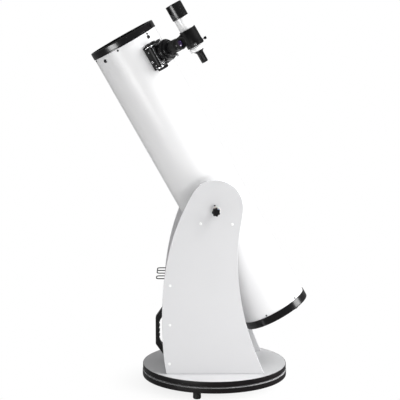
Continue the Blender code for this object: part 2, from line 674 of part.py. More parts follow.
def build_bracket(mount, axis, mats):
    black = mats["black"]
    foot = [(-0.0118, 0.1239), (0.0118, 0.1239), (0.0091, 0.1302), (0.0091, 0.1340),
            (-0.0091, 0.1340), (-0.0091, 0.1302)]
    bracket = solid("finder_bracket", prism(foot, -0.020, 0.020), black, mount, side(-1))
    top = FINDER_AXIS - BRACKET_BORE - GAP
    stalk = bezier((0.020, 0.131), (0.0165, 0.142), (0.0150, 0.168), (0.0240, top), 8)
    stalk += [(0.0240, top)]
    stalk += [(-y, z) for y, z in reversed(stalk)]
    sideways = axes((0, 1, 0), (0, 0, 1), (1, 0, 0))
    add(bracket, solid("guide_stalk", prism(stalk, -0.0085, 0.0085), black, mount, sideways))
    ring = turned([(BRACKET_BORE, BRACKET_LOW), (BRACKET_RADIUS + 0.001, BRACKET_LOW),
                   (BRACKET_RADIUS + 0.001, BRACKET_LOW + 0.014),
                   (BRACKET_RADIUS, BRACKET_LOW + 0.016), (BRACKET_RADIUS, BRACKET_HIGH),
                   (BRACKET_BORE, BRACKET_HIGH)], FINDER_FACETS)
    add(bracket, solid("guide_ring", ring, black, axis))
    for number, angle in enumerate((0, -90, 135), 1):
        hole = rod(0.0023, 0.02, 0.04, 12)
        cut(bracket, solid(f"cutter_bracket_{number}", hole, black, axis,
                           finder_radial(radians(angle))))


# ---------------------------------------------------------------- whole telescope
def main():
    clear_scene()
    mats = {
        "laminate": material("white_laminate", (0.86, 0.86, 0.87), 0.42),
        "tube_paint": material("white_tube_paint", (0.90, 0.90, 0.90), 0.22),
        "black": material("black_plastic", (0.018, 0.018, 0.020), 0.36),
        "rubber": material("black_rubber", (0.012, 0.012, 0.012), 0.75),
        "nylon": material("pale_nylon", (0.80, 0.79, 0.76), 0.45),
        "steel": material("bright_steel", (0.72, 0.72, 0.73), 0.22, 1.0),
        "mirror": material("mirror_coating", (0.93, 0.94, 0.95), 0.03, 1.0),
    }
    base = empty("azimuth_centre", None, Matrix.Translation((AZIMUTH_X, 0, 0)))
    build_ground_base(base, mats)
    rocker = empty("axis_azimuth", base)
    build_rocker(rocker, mats)
    tube = empty("axis_altitude", rocker,
                 Matrix.Translation((PIVOT_X, 0, PIVOT_Z)) @ Matrix.Rotation(-TILT, 4, "Y"))
    build_tube(tube, mats)
    secondary = empty("axis_secondary", tube)
    build_spider(tube, secondary, mats)
    mirror = empty("axis_mirror", tube)
    build_mirror(tube, mirror, mats)
    build_tension(tube, mats)
    build_focuser(tube, mats)
    build_finder(tube, mats)


main()
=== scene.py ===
"""Looks of a dobsonian telescope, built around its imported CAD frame.

Metres, +Z up, in the frame's own coordinates. Places and directions come from the frame's joints
and node boxes. Other numbers are sizes along a local axis: some repeat the CAD design's sizes, the
rest are details that only this script adds.
"""
import json
from math import asin, atan2, cos, pi, radians, sin, sqrt

import bmesh
import bpy
from mathutils import Matrix, Vector


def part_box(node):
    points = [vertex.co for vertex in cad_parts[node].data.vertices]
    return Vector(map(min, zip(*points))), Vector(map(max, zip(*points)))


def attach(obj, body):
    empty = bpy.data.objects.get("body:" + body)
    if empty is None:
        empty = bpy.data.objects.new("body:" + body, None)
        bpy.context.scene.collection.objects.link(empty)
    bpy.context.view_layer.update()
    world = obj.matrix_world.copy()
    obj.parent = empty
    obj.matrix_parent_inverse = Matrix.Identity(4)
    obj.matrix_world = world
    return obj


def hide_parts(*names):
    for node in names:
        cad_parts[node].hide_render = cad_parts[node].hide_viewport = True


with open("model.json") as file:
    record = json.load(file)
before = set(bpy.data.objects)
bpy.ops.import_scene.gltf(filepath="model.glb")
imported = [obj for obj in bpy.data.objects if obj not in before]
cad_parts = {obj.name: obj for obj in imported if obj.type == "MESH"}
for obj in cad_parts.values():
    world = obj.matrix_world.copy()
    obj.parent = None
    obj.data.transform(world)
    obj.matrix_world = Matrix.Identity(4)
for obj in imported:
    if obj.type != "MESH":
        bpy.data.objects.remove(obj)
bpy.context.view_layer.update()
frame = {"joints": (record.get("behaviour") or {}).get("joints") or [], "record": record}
WHOLE_TURN = 2 * pi
JOINTS = {joint["name"]: joint for joint in frame["joints"]}


def spot_of(joint):
    return Vector(JOINTS[joint]["pos_m"])


def axis_of(joint):
    return Vector(JOINTS[joint]["axis"]).normalized()


# ---------------------------------------------------------------- local frames
def axes(x, y, z, origin=(0.0, 0.0, 0.0)):
    """Matrix from three axis directions and an origin."""
    matrix = Matrix((x, y, z)).transposed().to_4x4()
    matrix.translation = origin
    return matrix


def upright(z, y, origin):
    """Frame with the given Z and Y directions."""
    return axes(Vector(y).cross(Vector(z)), y, z, origin)


def around(angle, along=0.0):
    """Frame inside the tube's frame: Z away from its axis, Y along the tube."""
    return axes((cos(angle), sin(angle), 0), (0, 0, 1), (sin(angle), -cos(angle), 0),
                (0, 0, along))


def radial(angle, height, reach=0.0):
    """Frame beside a local Z axis: its own Z points away from it at the angle."""
    outward = Vector((cos(angle), sin(angle), 0))
    up = Vector((0, 0, 1))
    return axes(up.cross(outward), up, outward, outward * reach + up * height)


def side(sign):
    """Frame whose Z points along local +Y or -Y."""
    return Matrix.Rotation(radians(-90 * sign), 4, "X")


def facing_x(x=0.0, y=0.0, z=0.0):
    """Frame at a point whose Z points along local +X."""
    return axes((0, 1, 0), (0, 0, 1), (1, 0, 0), (x, y, z))


def shift(x, y, z):
    return Matrix.Translation((x, y, z))


FLIP = Matrix.Rotation(pi, 4, "X")
PIVOT = spot_of("altitude")
ALONG = axis_of("secondary_turn")
TUBE = upright(ALONG, axis_of("altitude"), PIVOT)
BASE = shift(spot_of("azimuth").x, spot_of("azimuth").y, 0)
PIVOT_FRAME = Matrix.Translation(PIVOT)


def level_of(joint):
    """Distance of a joint along the tube from the pivot."""
    return (spot_of(joint) - PIVOT).dot(ALONG)


OUT = axis_of("focus_travel")
FOCUSER_AT = level_of("focus_knob_turn")
FOCUSER = upright(OUT, ALONG, PIVOT + ALONG * FOCUSER_AT)
FOCUSER_ANGLE = atan2((FOCUSER.to_3x3() @ Vector((0, 0, 1))).dot(TUBE.col[0].xyz),
                      -OUT.dot(TUBE.col[1].xyz))
FINDER_OUT = axis_of("finder_screw_outer_turn")
FINDER = axes(FINDER_OUT, ALONG.cross(FINDER_OUT), ALONG,
              spot_of("objective_turn") - ALONG * level_of("objective_turn"))
FINDER_ANGLE = atan2(FINDER_OUT.dot(TUBE.col[0].xyz), -FINDER_OUT.dot(TUBE.col[1].xyz))

GROUND_LOW, GROUND_HIGH = (corner.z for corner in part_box("ground_board"))
TABLE_LOW, TABLE_HIGH = (corner.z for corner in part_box("table_board"))
PANEL_IN, PANEL_OUT = (corner.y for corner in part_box("side_panel_right"))
FRONT_LOW, FRONT_HIGH = (BASE.inverted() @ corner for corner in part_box("front_board"))


# ---------------------------------------------------------------- materials
class Graph:
    """Short notation for the node tree of one material."""

    def __init__(self, name):
        self.mat = bpy.data.materials.new(name)
        self.mat.use_nodes = True
        self.tree = self.mat.node_tree
        self.shader = self.tree.nodes["Principled BSDF"]
        self.place = self.node("TexCoord").outputs["Object"]

    def node(self, kind, **settings):
        made = self.tree.nodes.new("ShaderNode" + kind)
        for key, value in settings.items():
            setattr(made, key, value)
        return made

    def feed(self, socket, value):
        if isinstance(value, bpy.types.NodeSocket):
            self.tree.links.new(value, socket)
        else:
            socket.default_value = value

    def noise(self, scale, detail=3.0, stretch=(1, 1, 1)):
        mapping = self.node("Mapping")
        self.feed(mapping.inputs["Vector"], self.place)
        mapping.inputs["Scale"].default_value = stretch
        noise = self.node("TexNoise")
        self.feed(noise.inputs["Vector"], mapping.outputs["Vector"])
        noise.inputs["Scale"].default_value = scale
        noise.inputs["Detail"].default_value = detail
        return noise.outputs[0]

    def spread(self, value, low, high, start=0.3, end=0.7):
        """Map the middle of a noise onto low to high."""
        mapped = self.node("MapRange")
        names = ("From Min", "From Max", "To Min", "To Max")
        for key, number in zip(names, (start, end, low, high)):
            mapped.inputs[key].default_value = number
        self.feed(mapped.inputs["Value"], value)
        return mapped.outputs["Result"]

    def mix(self, factor, first, second):
        mixed = self.node("Mix", data_type="RGBA")
        self.feed(mixed.inputs[0], factor)
        self.feed(mixed.inputs[6], first)
        self.feed(mixed.inputs[7], second)
        return mixed.outputs[2]

    def bump(self, height, strength, distance, below=None):
        bump = self.node("Bump")
        bump.inputs["Strength"].default_value = strength
        bump.inputs["Distance"].default_value = distance
        self.feed(bump.inputs["Height"], height)
        if below is not None:
            self.feed(bump.inputs["Normal"], below)
        return bump.outputs["Normal"]

    def set(self, **values):
        for key, value in values.items():
            self.feed(self.shader.inputs[key.replace("_", " ")], value)


def shade(colour, factor):
    return tuple(min(1.0, channel * factor) for channel in colour) + (1.0,)


def finish(name, colour, rough, metal=0.0, cloud=9.0, tint=0.03, grain=700.0, relief=0.15,
           depth=0.0002, spread=0.05, stretch=(1, 1, 1), **more):
    """Principled surface with clouded colour, uneven roughness and a fine grained relief."""
    g = Graph(name)
    clouds = g.spread(g.noise(cloud, 4.0), 0.0, 1.0)
    fine = g.noise(grain, 3.0, stretch)
    g.feed(g.shader.inputs["Base Color"],
           g.mix(clouds, shade(colour, 1 - tint), shade(colour, 1 + tint)))
    smudge = g.noise(cloud * 5, 5.0)
    g.feed(g.shader.inputs["Roughness"], g.spread(smudge, rough - spread, rough + spread))
    g.feed(g.shader.inputs["Normal"], g.bump(fine, relief, depth))
    g.set(Metallic=metal, **more)
    return g.mat


def lens_coating():
    """Dark glass with a violet reflection from its tinted specular and coat, and the same
    reflection painted into its base colour, bluer towards its rim.
    """
    g = Graph("lens_coating")
    edge = g.node("LayerWeight").outputs["Facing"]
    violet, blue = (0.020, 0.008, 0.028, 1.0), (0.012, 0.012, 0.032, 1.0)
    # painted reflection: the base colour shifts from violet to blue as the surface turns away from
    # view
    painted_reflection_tone = g.mix(g.spread(edge, 0.0, 1.0, 0.05, 0.6), violet, blue)
    dust = g.spread(g.noise(900.0, 2.0), 0.0, 1.0, 0.62, 0.78)
    g.feed(g.shader.inputs["Base Color"], g.mix(dust, painted_reflection_tone, (0.20, 0.16, 0.24, 1.0)))
    g.feed(g.shader.inputs["Roughness"], g.spread(g.noise(60.0), 0.02, 0.06))
    g.set(Specular_Tint=(0.86, 0.74, 1.0, 1.0), Coat_Weight=1.0, Coat_Roughness=0.02,
          Coat_Tint=(0.92, 0.80, 1.0, 1.0))
    return g.mat


def mirror_coating():
    """Aluminised glass: almost clean, with a faint haze and specks of dust."""
    g = Graph("mirror_coating")
    haze = g.spread(g.noise(14.0, 4.0), 0.008, 0.03)
    dust = g.spread(g.noise(1500.0, 2.0), 0.0, 1.0, 0.70, 0.76)
    g.feed(g.shader.inputs["Base Color"], g.mix(dust, (0.93, 0.94, 0.95, 1), (0.6, 0.6, 0.6, 1)))
    g.feed(g.shader.inputs["Roughness"], haze)
    g.set(Metallic=1.0)
    return g.mat


WHITE, BLACK, STEEL = (0.70, 0.70, 0.71), (0.0045, 0.0043, 0.0047), (0.78, 0.78, 0.79)
RINGS = (1, 1, 12)               # stretches a noise into turning marks around local Z
MATS = {
    "laminate": finish("white_laminate", WHITE, 0.36, cloud=3.0, tint=0.012, grain=420.0,
                       relief=0.10, Coat_Weight=0.15, Coat_Roughness=0.3),
    "edge_tape": finish("white_edge_tape", (0.80, 0.80, 0.82), 0.30, cloud=5.0, tint=0.02,
                        grain=260.0, relief=0.12),
    "cap": finish("white_cap", (0.93, 0.93, 0.93), 0.28, cloud=40.0, tint=0.02, grain=900.0),
    "tube_paint": finish("white_tube_paint", (0.87, 0.87, 0.875), 0.34, cloud=4.0, tint=0.008,
                         grain=210.0, relief=0.04, Specular_IOR_Level=0.3, Coat_Weight=0.08,
                         Coat_Roughness=0.16),
    "enamel": finish("black_enamel", BLACK, 0.22, cloud=30.0, tint=0.15, grain=520.0,
                     relief=0.12, Specular_IOR_Level=0.35, Coat_Weight=0.3,
                     Coat_Roughness=0.16),
    "band": finish("black_edge_band", (0.0065, 0.0048, 0.0055), 0.33, cloud=14.0, tint=0.2,
                   grain=160.0, relief=0.2, depth=0.0003, stretch=(1, 1, 8),
                   Specular_IOR_Level=0.35),
    "plastic": finish("black_plastic", BLACK, 0.42, cloud=25.0, tint=0.15, grain=1300.0,
                      relief=0.35, depth=0.0003, Specular_IOR_Level=0.3),
    "cast": finish("black_casting", (0.006, 0.006, 0.0065), 0.34, cloud=40.0, tint=0.2,
                   grain=850.0, relief=0.4, depth=0.0003, Specular_IOR_Level=0.35),
    "anodised": finish("black_anodised", (0.006, 0.006, 0.0065), 0.25, metal=0.05, cloud=30.0,
                       tint=0.12, grain=420.0, relief=0.12, stretch=RINGS),
    "white_anodised": finish("white_anodised", (0.88, 0.88, 0.88), 0.28, cloud=25.0,
                             tint=0.02, grain=600.0, Coat_Weight=0.4, Coat_Roughness=0.12),
    "flocking": finish("tube_inside", (0.010, 0.010, 0.010), 0.95, cloud=20.0, tint=0.3,
                       grain=900.0, relief=0.6, depth=0.0004, spread=0.03),
    "rubber": finish("rubber", (0.007, 0.007, 0.007), 0.72, cloud=30.0, tint=0.25,
                     grain=1500.0, relief=0.45, depth=0.0003),
    "nylon": finish("nylon", (0.80, 0.79, 0.76), 0.42, cloud=40.0, tint=0.03, grain=900.0,
                    Subsurface_Weight=0.15, Subsurface_Scale=0.002),
    "steel": finish("bright_steel", STEEL, 0.15, metal=1.0, cloud=60.0, tint=0.06,
                    grain=900.0, relief=0.10, stretch=RINGS),
    "black_screw": finish("blackened_steel", (0.05, 0.05, 0.052), 0.30, metal=0.9, cloud=60.0,
                          tint=0.2, grain=900.0, relief=0.15),
    "zinc": finish("zinc_steel", (0.80, 0.80, 0.81), 0.30, metal=1.0, cloud=90.0, tint=0.15,
                   grain=1200.0, relief=0.2),
    "glass_edge": finish("ground_glass", (0.50, 0.62, 0.57), 0.50, cloud=20.0, tint=0.06,
                         grain=1500.0, relief=0.5, depth=0.0002),
    "mirror": mirror_coating(),
    "lens": lens_coating(),
}
SLOTS = {                        # material slot of the CAD record for each finish
    "laminate": "white_laminate", "edge_tape": "white_laminate", "cap": "white_laminate",
    "tube_paint": "white_tube_paint", "enamel": "black_enamel", "band": "black_edge_band",
    "plastic": "black_plastic", "cast": "black_plastic", "anodised": "black_anodised",
    "white_anodised": "white_anodised", "flocking": "black_enamel", "rubber": "rubber",
    "nylon": "nylon", "steel": "bright_steel", "zinc": "zinc_steel",
    "black_screw": "zinc_steel", "glass_edge": "mirror_glass", "mirror": "mirror_glass",
    "lens": "mirror_glass",
}


# ---------------------------------------------------------------- outlines
def circle(radius, count, centre=(0.0, 0.0)):
    turn = [WHOLE_TURN * i / count for i in range(count)]
    return [(centre[0] + radius * cos(a), centre[1] + radius * sin(a)) for a in turn]


def arc(radius, first, last, steps, centre=(0.0, 0.0)):
    """Points on an arc, angles in radians, both ends included."""
    angles = [first + (last - first) * i / steps for i in range(steps + 1)]
    return [(centre[0] + radius * cos(a), centre[1] + radius * sin(a)) for a in angles]


def bezier(start, start_handle, end_handle, end, steps):
    """Points of a cubic curve, without its last point."""
    points = []
    for i in range(steps):
        t = i / steps
        weights = ((1 - t) ** 3, 3 * t * (1 - t) ** 2, 3 * t * t * (1 - t), t ** 3)
        corners = (start, start_handle, end_handle, end)
        points.append(tuple(sum(w * c[k] for w, c in zip(weights, corners)) for k in (0, 1)))
    return points


def fillet(points, radius, steps=3, closed=True):
    """Round the corners of an outline. A third value on a point is its own radius."""
    rounded = []
    count = len(points)
    for i, point in enumerate(points):
        here = Vector(point[:2])
        reach = point[2] if len(point) > 2 else radius
        if reach == 0 or (not closed and i in (0, count - 1)):
            rounded.append(tuple(here))
            continue
        back = Vector(points[i - 1][:2]) - here
        on = Vector(points[(i + 1) % count][:2]) - here
        reach = min(reach, 0.48 * back.length, 0.48 * on.length)
        start, end = here + back.normalized() * reach, here + on.normalized() * reach
        for k in range(steps + 1):
            t = k / steps
            rounded.append(tuple(start * (1 - t) ** 2 + here * 2 * t * (1 - t) + end * t * t))
    return rounded


def inset(outline, distance):
    """Move a closed outline inwards, whichever way round it runs."""
    area = sum(a[0] * b[1] - b[0] * a[1] for a, b in zip(outline, outline[1:] + outline[:1]))
    turn = 1 if area > 0 else -1
    moved = []
    for i, point in enumerate(outline):
        here = Vector(point)
        before = (here - Vector(outline[i - 1])).normalized()
        after = (Vector(outline[(i + 1) % len(outline)]) - here).normalized()
        inward = (Vector((-before.y, before.x)) + Vector((-after.y, after.x))) * turn
        inward.normalize()
        lean = max(0.5, inward.dot(Vector((-after.y, after.x)) * turn))
        moved.append(tuple(here + inward * distance / lean))
    return moved


def spokes(hub_radius, half_width, tip_radius, angles, hub_steps=10):
    """Outline of a hub with straight arms that end on the tip radius."""
    outline = []
    root = asin(half_width / hub_radius)
    tip = asin(half_width / tip_radius)
    for k, angle in enumerate(angles):
        outline += arc(tip_radius, angle - tip, angle + tip, 4)
        following = angles[(k + 1) % len(angles)] + (WHOLE_TURN if k + 1 == len(angles) else 0)
        outline += arc(hub_radius, angle + root, following - root, hub_steps)
    return outline


# ---------------------------------------------------------------- meshes
def loft(rings):
    """Closed solid through rings of points that all hold the same number of points."""
    bm = bmesh.new()
    loops = [[bm.verts.new(point) for point in ring] for ring in rings]
    count = len(loops[0])
    bm.faces.new(loops[0])
    bm.faces.new(loops[-1])
    for lower, upper in zip(loops, loops[1:]):
        for i in range(count):
            j = (i + 1) % count
            bm.faces.new((lower[i], lower[j], upper[j], upper[i]))
    return bm


def prism(outline, low, high):
    """Outline in local X and Y, extruded along Z."""
    return loft([[(x, y, z) for x, y in outline] for z in (low, high)])


def lathe(profile, segments=96, shape=None):
    """Revolve (radius, height) points about local Z, open at radius 0 or closed as a ring.

    shape(angle, radius, height) may change the radius, for knurls and lobes.
    """
    bm = bmesh.new()
    rings = []
    for radius, height in profile:
        if radius == 0:
            rings.append([bm.verts.new((0, 0, height))])
            continue
        ring = []
        for i in range(segments):
            a = WHOLE_TURN * i / segments
            r = shape(a, radius, height) if shape else radius
            ring.append(bm.verts.new((r * cos(a), r * sin(a), height)))
        rings.append(ring)
    pairs = list(zip(rings, rings[1:]))
    if profile[0][0] > 0:
        pairs.append((rings[-1], rings[0]))
    for lower, upper in pairs:
        for i in range(segments):
            j = (i + 1) % segments
            corners = [lower[i % len(lower)], lower[j % len(lower)],
                       upper[j % len(upper)], upper[i % len(upper)]]
            bm.faces.new(list(dict.fromkeys(corners)))
    return bm


def rod(radius, low, high, segments):
    """Plain cylinder about local Z, used as a cutter."""
    return lathe([(0, low), (radius, low), (radius, high), (0, high)], segments)


def lens(radius, back, start, rise, segments, step=9):
    """Flat-backed lens about local Z. Its dome starts at one height and rises by another."""
    dome = [(radius * cos(radians(a)), start + rise * sin(radians(a)))
            for a in range(step, 90, step)]
    return lathe([(0, back), (radius, back)] + dome + [(0, start + rise)], segments)


def turned(profile, radius=0.0004, segments=96, shape=None, steps=3):
    """Lathe a profile after rounding its corners."""
    closed = profile[0][0] > 0
    return lathe(fillet(profile, radius, steps, closed), segments, shape)


def ribs(count, depth, beyond, low=-1e9, high=1e9):
    """Rounded ribs around a knob, where its radius passes beyond and between two heights."""
    def shape(angle, radius, height):
        if radius <= beyond or not low < height < high:
            return radius
        return radius - depth * (0.5 - 0.5 * cos(count * angle))
    return shape


def wire(path, radius, sides=12):
    """Round rod swept along a path."""
    points = [Vector(point) for point in path]
    rings = []
    normal = None
    for i, point in enumerate(points):
        ahead = (points[min(i + 1, len(points) - 1)] - points[max(i - 1, 0)]).normalized()
        normal = ahead.orthogonal() if normal is None else normal - ahead * normal.dot(ahead)
        normal.normalize()
        across = ahead.cross(normal)
        rings.append([point + (normal * x + across * y) for x, y in circle(radius, sides)])
    return loft(rings)


def threads(radius, low, high, pitch=0.0008, depth=0.0003):
    """Profile points of a threaded length, from low to high."""
    points = []
    for i in range(int((high - low) / pitch)):
        points += [(radius - depth, low + i * pitch), (radius, low + (i + 0.5) * pitch)]
    return points + [(radius - depth, high)]


# ---------------------------------------------------------------- pieces
def raw(name, bm, mat, matrix=Matrix()):
    """Place a bmesh as an object, with outward faces."""
    bmesh.ops.recalc_face_normals(bm, faces=bm.faces)
    mesh = bpy.data.meshes.new(name)
    bm.to_mesh(mesh)
    bm.free()
    mesh.materials.append(MATS[mat])
    obj = bpy.data.objects.new(name, mesh)
    bpy.context.scene.collection.objects.link(obj)
    obj.matrix_world = matrix
    obj["slot"] = SLOTS[mat]
    return obj


def carve(obj, bm, matrix, operation="DIFFERENCE"):
    """Apply a Boolean with a throw-away tool, so that only the result is left."""
    tool = raw("tool", bm, "plastic", matrix)
    tool.data.materials.clear()
    step = obj.modifiers.new("carve", "BOOLEAN")
    step.operation = operation
    step.solver = "EXACT"
    step.object = tool
    bpy.context.view_layer.update()
    evaluated = obj.evaluated_get(bpy.context.evaluated_depsgraph_get())
    mesh = bpy.data.meshes.new_from_object(evaluated)
    obj.modifiers.remove(step)
    obj.data = mesh
    bpy.data.objects.remove(tool, do_unlink=True)
    return obj


def paint(obj, mat, wanted):
    """Give a second material to the faces whose centre and normal pass a test."""
    obj.data.materials.append(MATS[mat])
    for face in obj.data.polygons:
        if wanted(face.center, face.normal):
            face.material_index = len(obj.data.materials) - 1
    return obj


def split_large_faces(obj):
    """Cut faces of more than four corners, some with a hole inside, into triangles."""
    bm = bmesh.new()
    bm.from_mesh(obj.data)
    bmesh.ops.triangulate(bm, faces=[face for face in bm.faces if len(face.verts) > 4])
    bm.to_mesh(obj.data)
    bm.free()


def dress(obj, body, nodes=(), bevel=0.0, steps=3, sharp=38):
    """Smooth shading, softened edges, and the CAD body and nodes this piece belongs to."""
    obj.data.shade_smooth()
    obj.data.set_sharp_from_angle(angle=radians(sharp))
    if bevel:
        soft = obj.modifiers.new("soft_edges", "BEVEL")
        soft.width = bevel
        soft.segments = steps
        soft.limit_method = "ANGLE"
        soft.angle_limit = radians(sharp)
        soft.harden_normals = True
    else:
        weighted = obj.modifiers.new("flat_faces", "WEIGHTED_NORMAL")
        weighted.keep_sharp = True
    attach(obj, body)
    if nodes:
        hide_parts(*nodes)
    return obj


def piece(name, bm, mat, body, matrix=Matrix(), nodes=(), **options):
    return dress(raw(name, bm, mat, matrix), body, nodes, **options)


def screw_head(radius, height):
    """Pan head with a cross recess, resting on local Z = 0."""
    profile = [(0, 0), (radius, 0, 0), (radius, height * 0.35, height * 0.3),
               (radius * 0.72, height * 0.9, radius * 0.2), (0, height)]
    head = raw("head", turned(profile, segments=40), "steel")
    arm, width = radius * 0.62, radius * 0.13
    for turn in (0, pi / 2):
        slot = prism([(-arm, -width), (arm, -width), (arm, width), (-arm, width)],
                     height * 0.35, height * 2)
        carve(head, slot, Matrix.Rotation(turn, 4, "Z"))
    mesh = head.data
    bpy.data.objects.remove(head, do_unlink=True)
    return mesh


SCREW_MESHES = {}


def screw(name, radius, height, mat, body, matrix):
    """One cross-head screw. Screws of the same size and finish share a mesh."""
    key = (radius, height, mat)
    if key not in SCREW_MESHES:
        mesh = screw_head(radius, height)
        mesh.materials.clear()
        mesh.materials.append(MATS[mat])
        mesh.shade_smooth()
        mesh.set_sharp_from_angle(angle=radians(38))
        SCREW_MESHES[key] = mesh
    obj = bpy.data.objects.new(name, SCREW_MESHES[key])
    bpy.context.scene.collection.objects.link(obj)
    obj.matrix_world = matrix
    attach(obj, body)
    return obj


# ---------------------------------------------------------------- ground base
FEET = [Vector(mount["pos_m"]) for mount in frame["record"]["mounts"]]
GROUND_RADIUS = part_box("ground_board")[1].y
GROUND_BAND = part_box("ground_edge_band")[1].y
TABLE_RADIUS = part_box("table_board")[1].y
TABLE_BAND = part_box("table_edge_band")[1].y


def round_board(name, node, radius, low, high, body):
    hole = 0.0056
    profile = [(hole, low), (radius, low), (radius, high), (hole, high)]
    piece(name, turned(profile, 0.0004, 192), "laminate", body, BASE, (node,))


def edge_band(name, node, radius, low, high, body):
    """Extruded plastic strip, slightly crowned, with rounded rims."""
    flat, crown = 0.0004, 0.0022
    profile = [(radius - 0.0013, low), (radius - flat, low), (radius - 0.0001, low + crown),
               (radius, (low + high) / 2), (radius - 0.0001, high - crown),
               (radius - flat, high), (radius - 0.0013, high)]
    piece(name, turned(profile, 0.0008, 240), "band", body, BASE, (node,))


def hexagon(corner, low, high, hole):
    """Six-sided nut with a round hole. Its corners lie at the given radius."""
    bm = bmesh.new()
    loops = []
    for radius, height in ((hole, low), (corner, low), (corner, high), (hole, high)):
        loops.append([bm.verts.new((x, y, height)) for x, y in circle(radius, 6)])
    for first, second in zip(loops, loops[1:] + loops[:1]):
        for i in range(6):
            j = (i + 1) % 6
            bm.faces.new((first[i], first[j], second[j], second[i]))
    return bm


def build_ground_base():
    body = "ground_base"
    round_board("ground_panel", "ground_board", GROUND_RADIUS, GROUND_LOW, GROUND_HIGH, body)
    edge_band("ground_rim", "ground_edge_band", GROUND_BAND, GROUND_LOW, GROUND_HIGH, body)
    top = GROUND_LOW - 0.0003
    profile = [(0, 0.004), (0.0062, 0.004), (0.0062, 0), (0.0100, 0, 0.0006),
               (0.0130, 0.0015, 0.002), (0.0140, 0.005, 0.002), (0.0135, 0.020, 0.004),
               (0.0145, top, 0.0008), (0, top)]
    for number, spot in enumerate(FEET, 1):
        place = Matrix.Translation(spot)
        piece(f"rubber_foot_{number}", turned(profile, segments=64), "rubber", body, place,
              (f"foot_{number}",))
        screw(f"foot_screw_{number}", 0.0045, 0.0022, "zinc", body,
              place @ shift(0, 0, 0.004) @ FLIP)
        low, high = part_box(f"azimuth_pad_{number}")
        middle = (low + high) / 2
        pad = [(0.0035, low.z), (0.016, low.z), (0.016, high.z, 0.0012), (0.006, high.z),
               (0.0035, high.z - 0.0015)]
        piece(f"glide_pad_{number}", turned(pad, 0.0003, 48), "nylon", body,
              shift(middle.x, middle.y, 0), (f"azimuth_pad_{number}",))
    low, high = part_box("azimuth_bolt")
    shaft, head = 0.005, GROUND_LOW - 0.0003
    profile = [(0, low.z + 0.001), (0.0045, low.z), (0.0078, low.z, 0.0008),
               (0.0085, low.z + 0.002, 0.0006), (0.0085, head, 0.0003), (shaft, head, 0),
               (shaft, TABLE_HIGH + 0.001, 0)]
    profile += [(r, z, 0) for r, z in threads(shaft, TABLE_HIGH + 0.001, high.z - 0.001)]
    piece("pivot_bolt", turned(profile + [(shaft - 0.001, high.z, 0), (0, high.z)], segments=48),
          "zinc", body, BASE, ("azimuth_bolt",))
    nut_low, nut_high = (corner.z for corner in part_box("azimuth_nut"))
    washer = 0.0015
    piece("pivot_nut", hexagon(0.0088, nut_low + washer, nut_high, 0.0053), "zinc", body, BASE,
          ("azimuth_nut",), bevel=0.0006)
    ring = [(0.0053, nut_low), (0.0125, nut_low), (0.0125, nut_low + washer - 0.0001),
            (0.0053, nut_low + washer - 0.0001)]
    piece("pivot_washer", turned(ring, 0.0003, 48), "zinc", body, BASE)


# ---------------------------------------------------------------- rocker
def panel_outline(z_low):
    """Side panel outline in X from the azimuth axis and height above the table board."""
    top, radius = (0.001, 0.5835), 0.095
    crown, shoulder = (top[0], top[1] + radius), (top[0] + radius, top[1])
    outline = bezier((-0.167, z_low), (-0.175, 0.040), (-0.182, 0.090), (-0.182, 0.200), 14)
    outline += bezier((-0.182, 0.200), (-0.182, 0.320), (-0.1634, 0.450), (-0.114, 0.559), 30)
    outline += bezier((-0.114, 0.559), (-0.0756, 0.643), (-0.057, crown[1]), crown, 26)
    outline += arc(radius, pi / 2, 0, 32, top)[:-1]
    outline += bezier(shoulder, (shoulder[0], 0.548), (0.0772, 0.490), (0.0772, 0.418), 22)
    outline += bezier((0.0772, 0.418), (0.0772, 0.240), (0.1195, 0.1205), (0.1705, z_low), 28)
    return outline + [(0.1705, z_low)]


CAPS = ((-0.0497, 0.529), (0.0578, 0.527), (-0.1540, 0.313), (-0.1550, 0.174), (-0.1570, 0.036))
TAPE = 0.0007                    # thickness of the edge tape
TENSION_HOLE = 0.006             # radius of the hole for each tension bolt


def edge_tape(name, outline, low, high, matrix):
    """Strip glued round the edge of a board, with a rounded outer corner."""
    inner, bend = inset(outline, TAPE), inset(outline, 0.0005)
    lip = 0.0005
    levels = ((inner, low - 0.00004), (bend, low - 0.00004), (outline, low + lip),
              (outline, high - lip), (bend, high + 0.00004), (inner, high + 0.00004))
    bm = bmesh.new()
    loops = [[bm.verts.new((x, y, z)) for x, y in points] for points, z in levels]
    count = len(outline)
    for first, second in zip(loops, loops[1:] + loops[:1]):
        for i in range(count):
            j = (i + 1) % count
            bm.faces.new((first[i], first[j], second[j], second[i]))
    piece(name, bm, "edge_tape", "rocker", matrix, sharp=60)


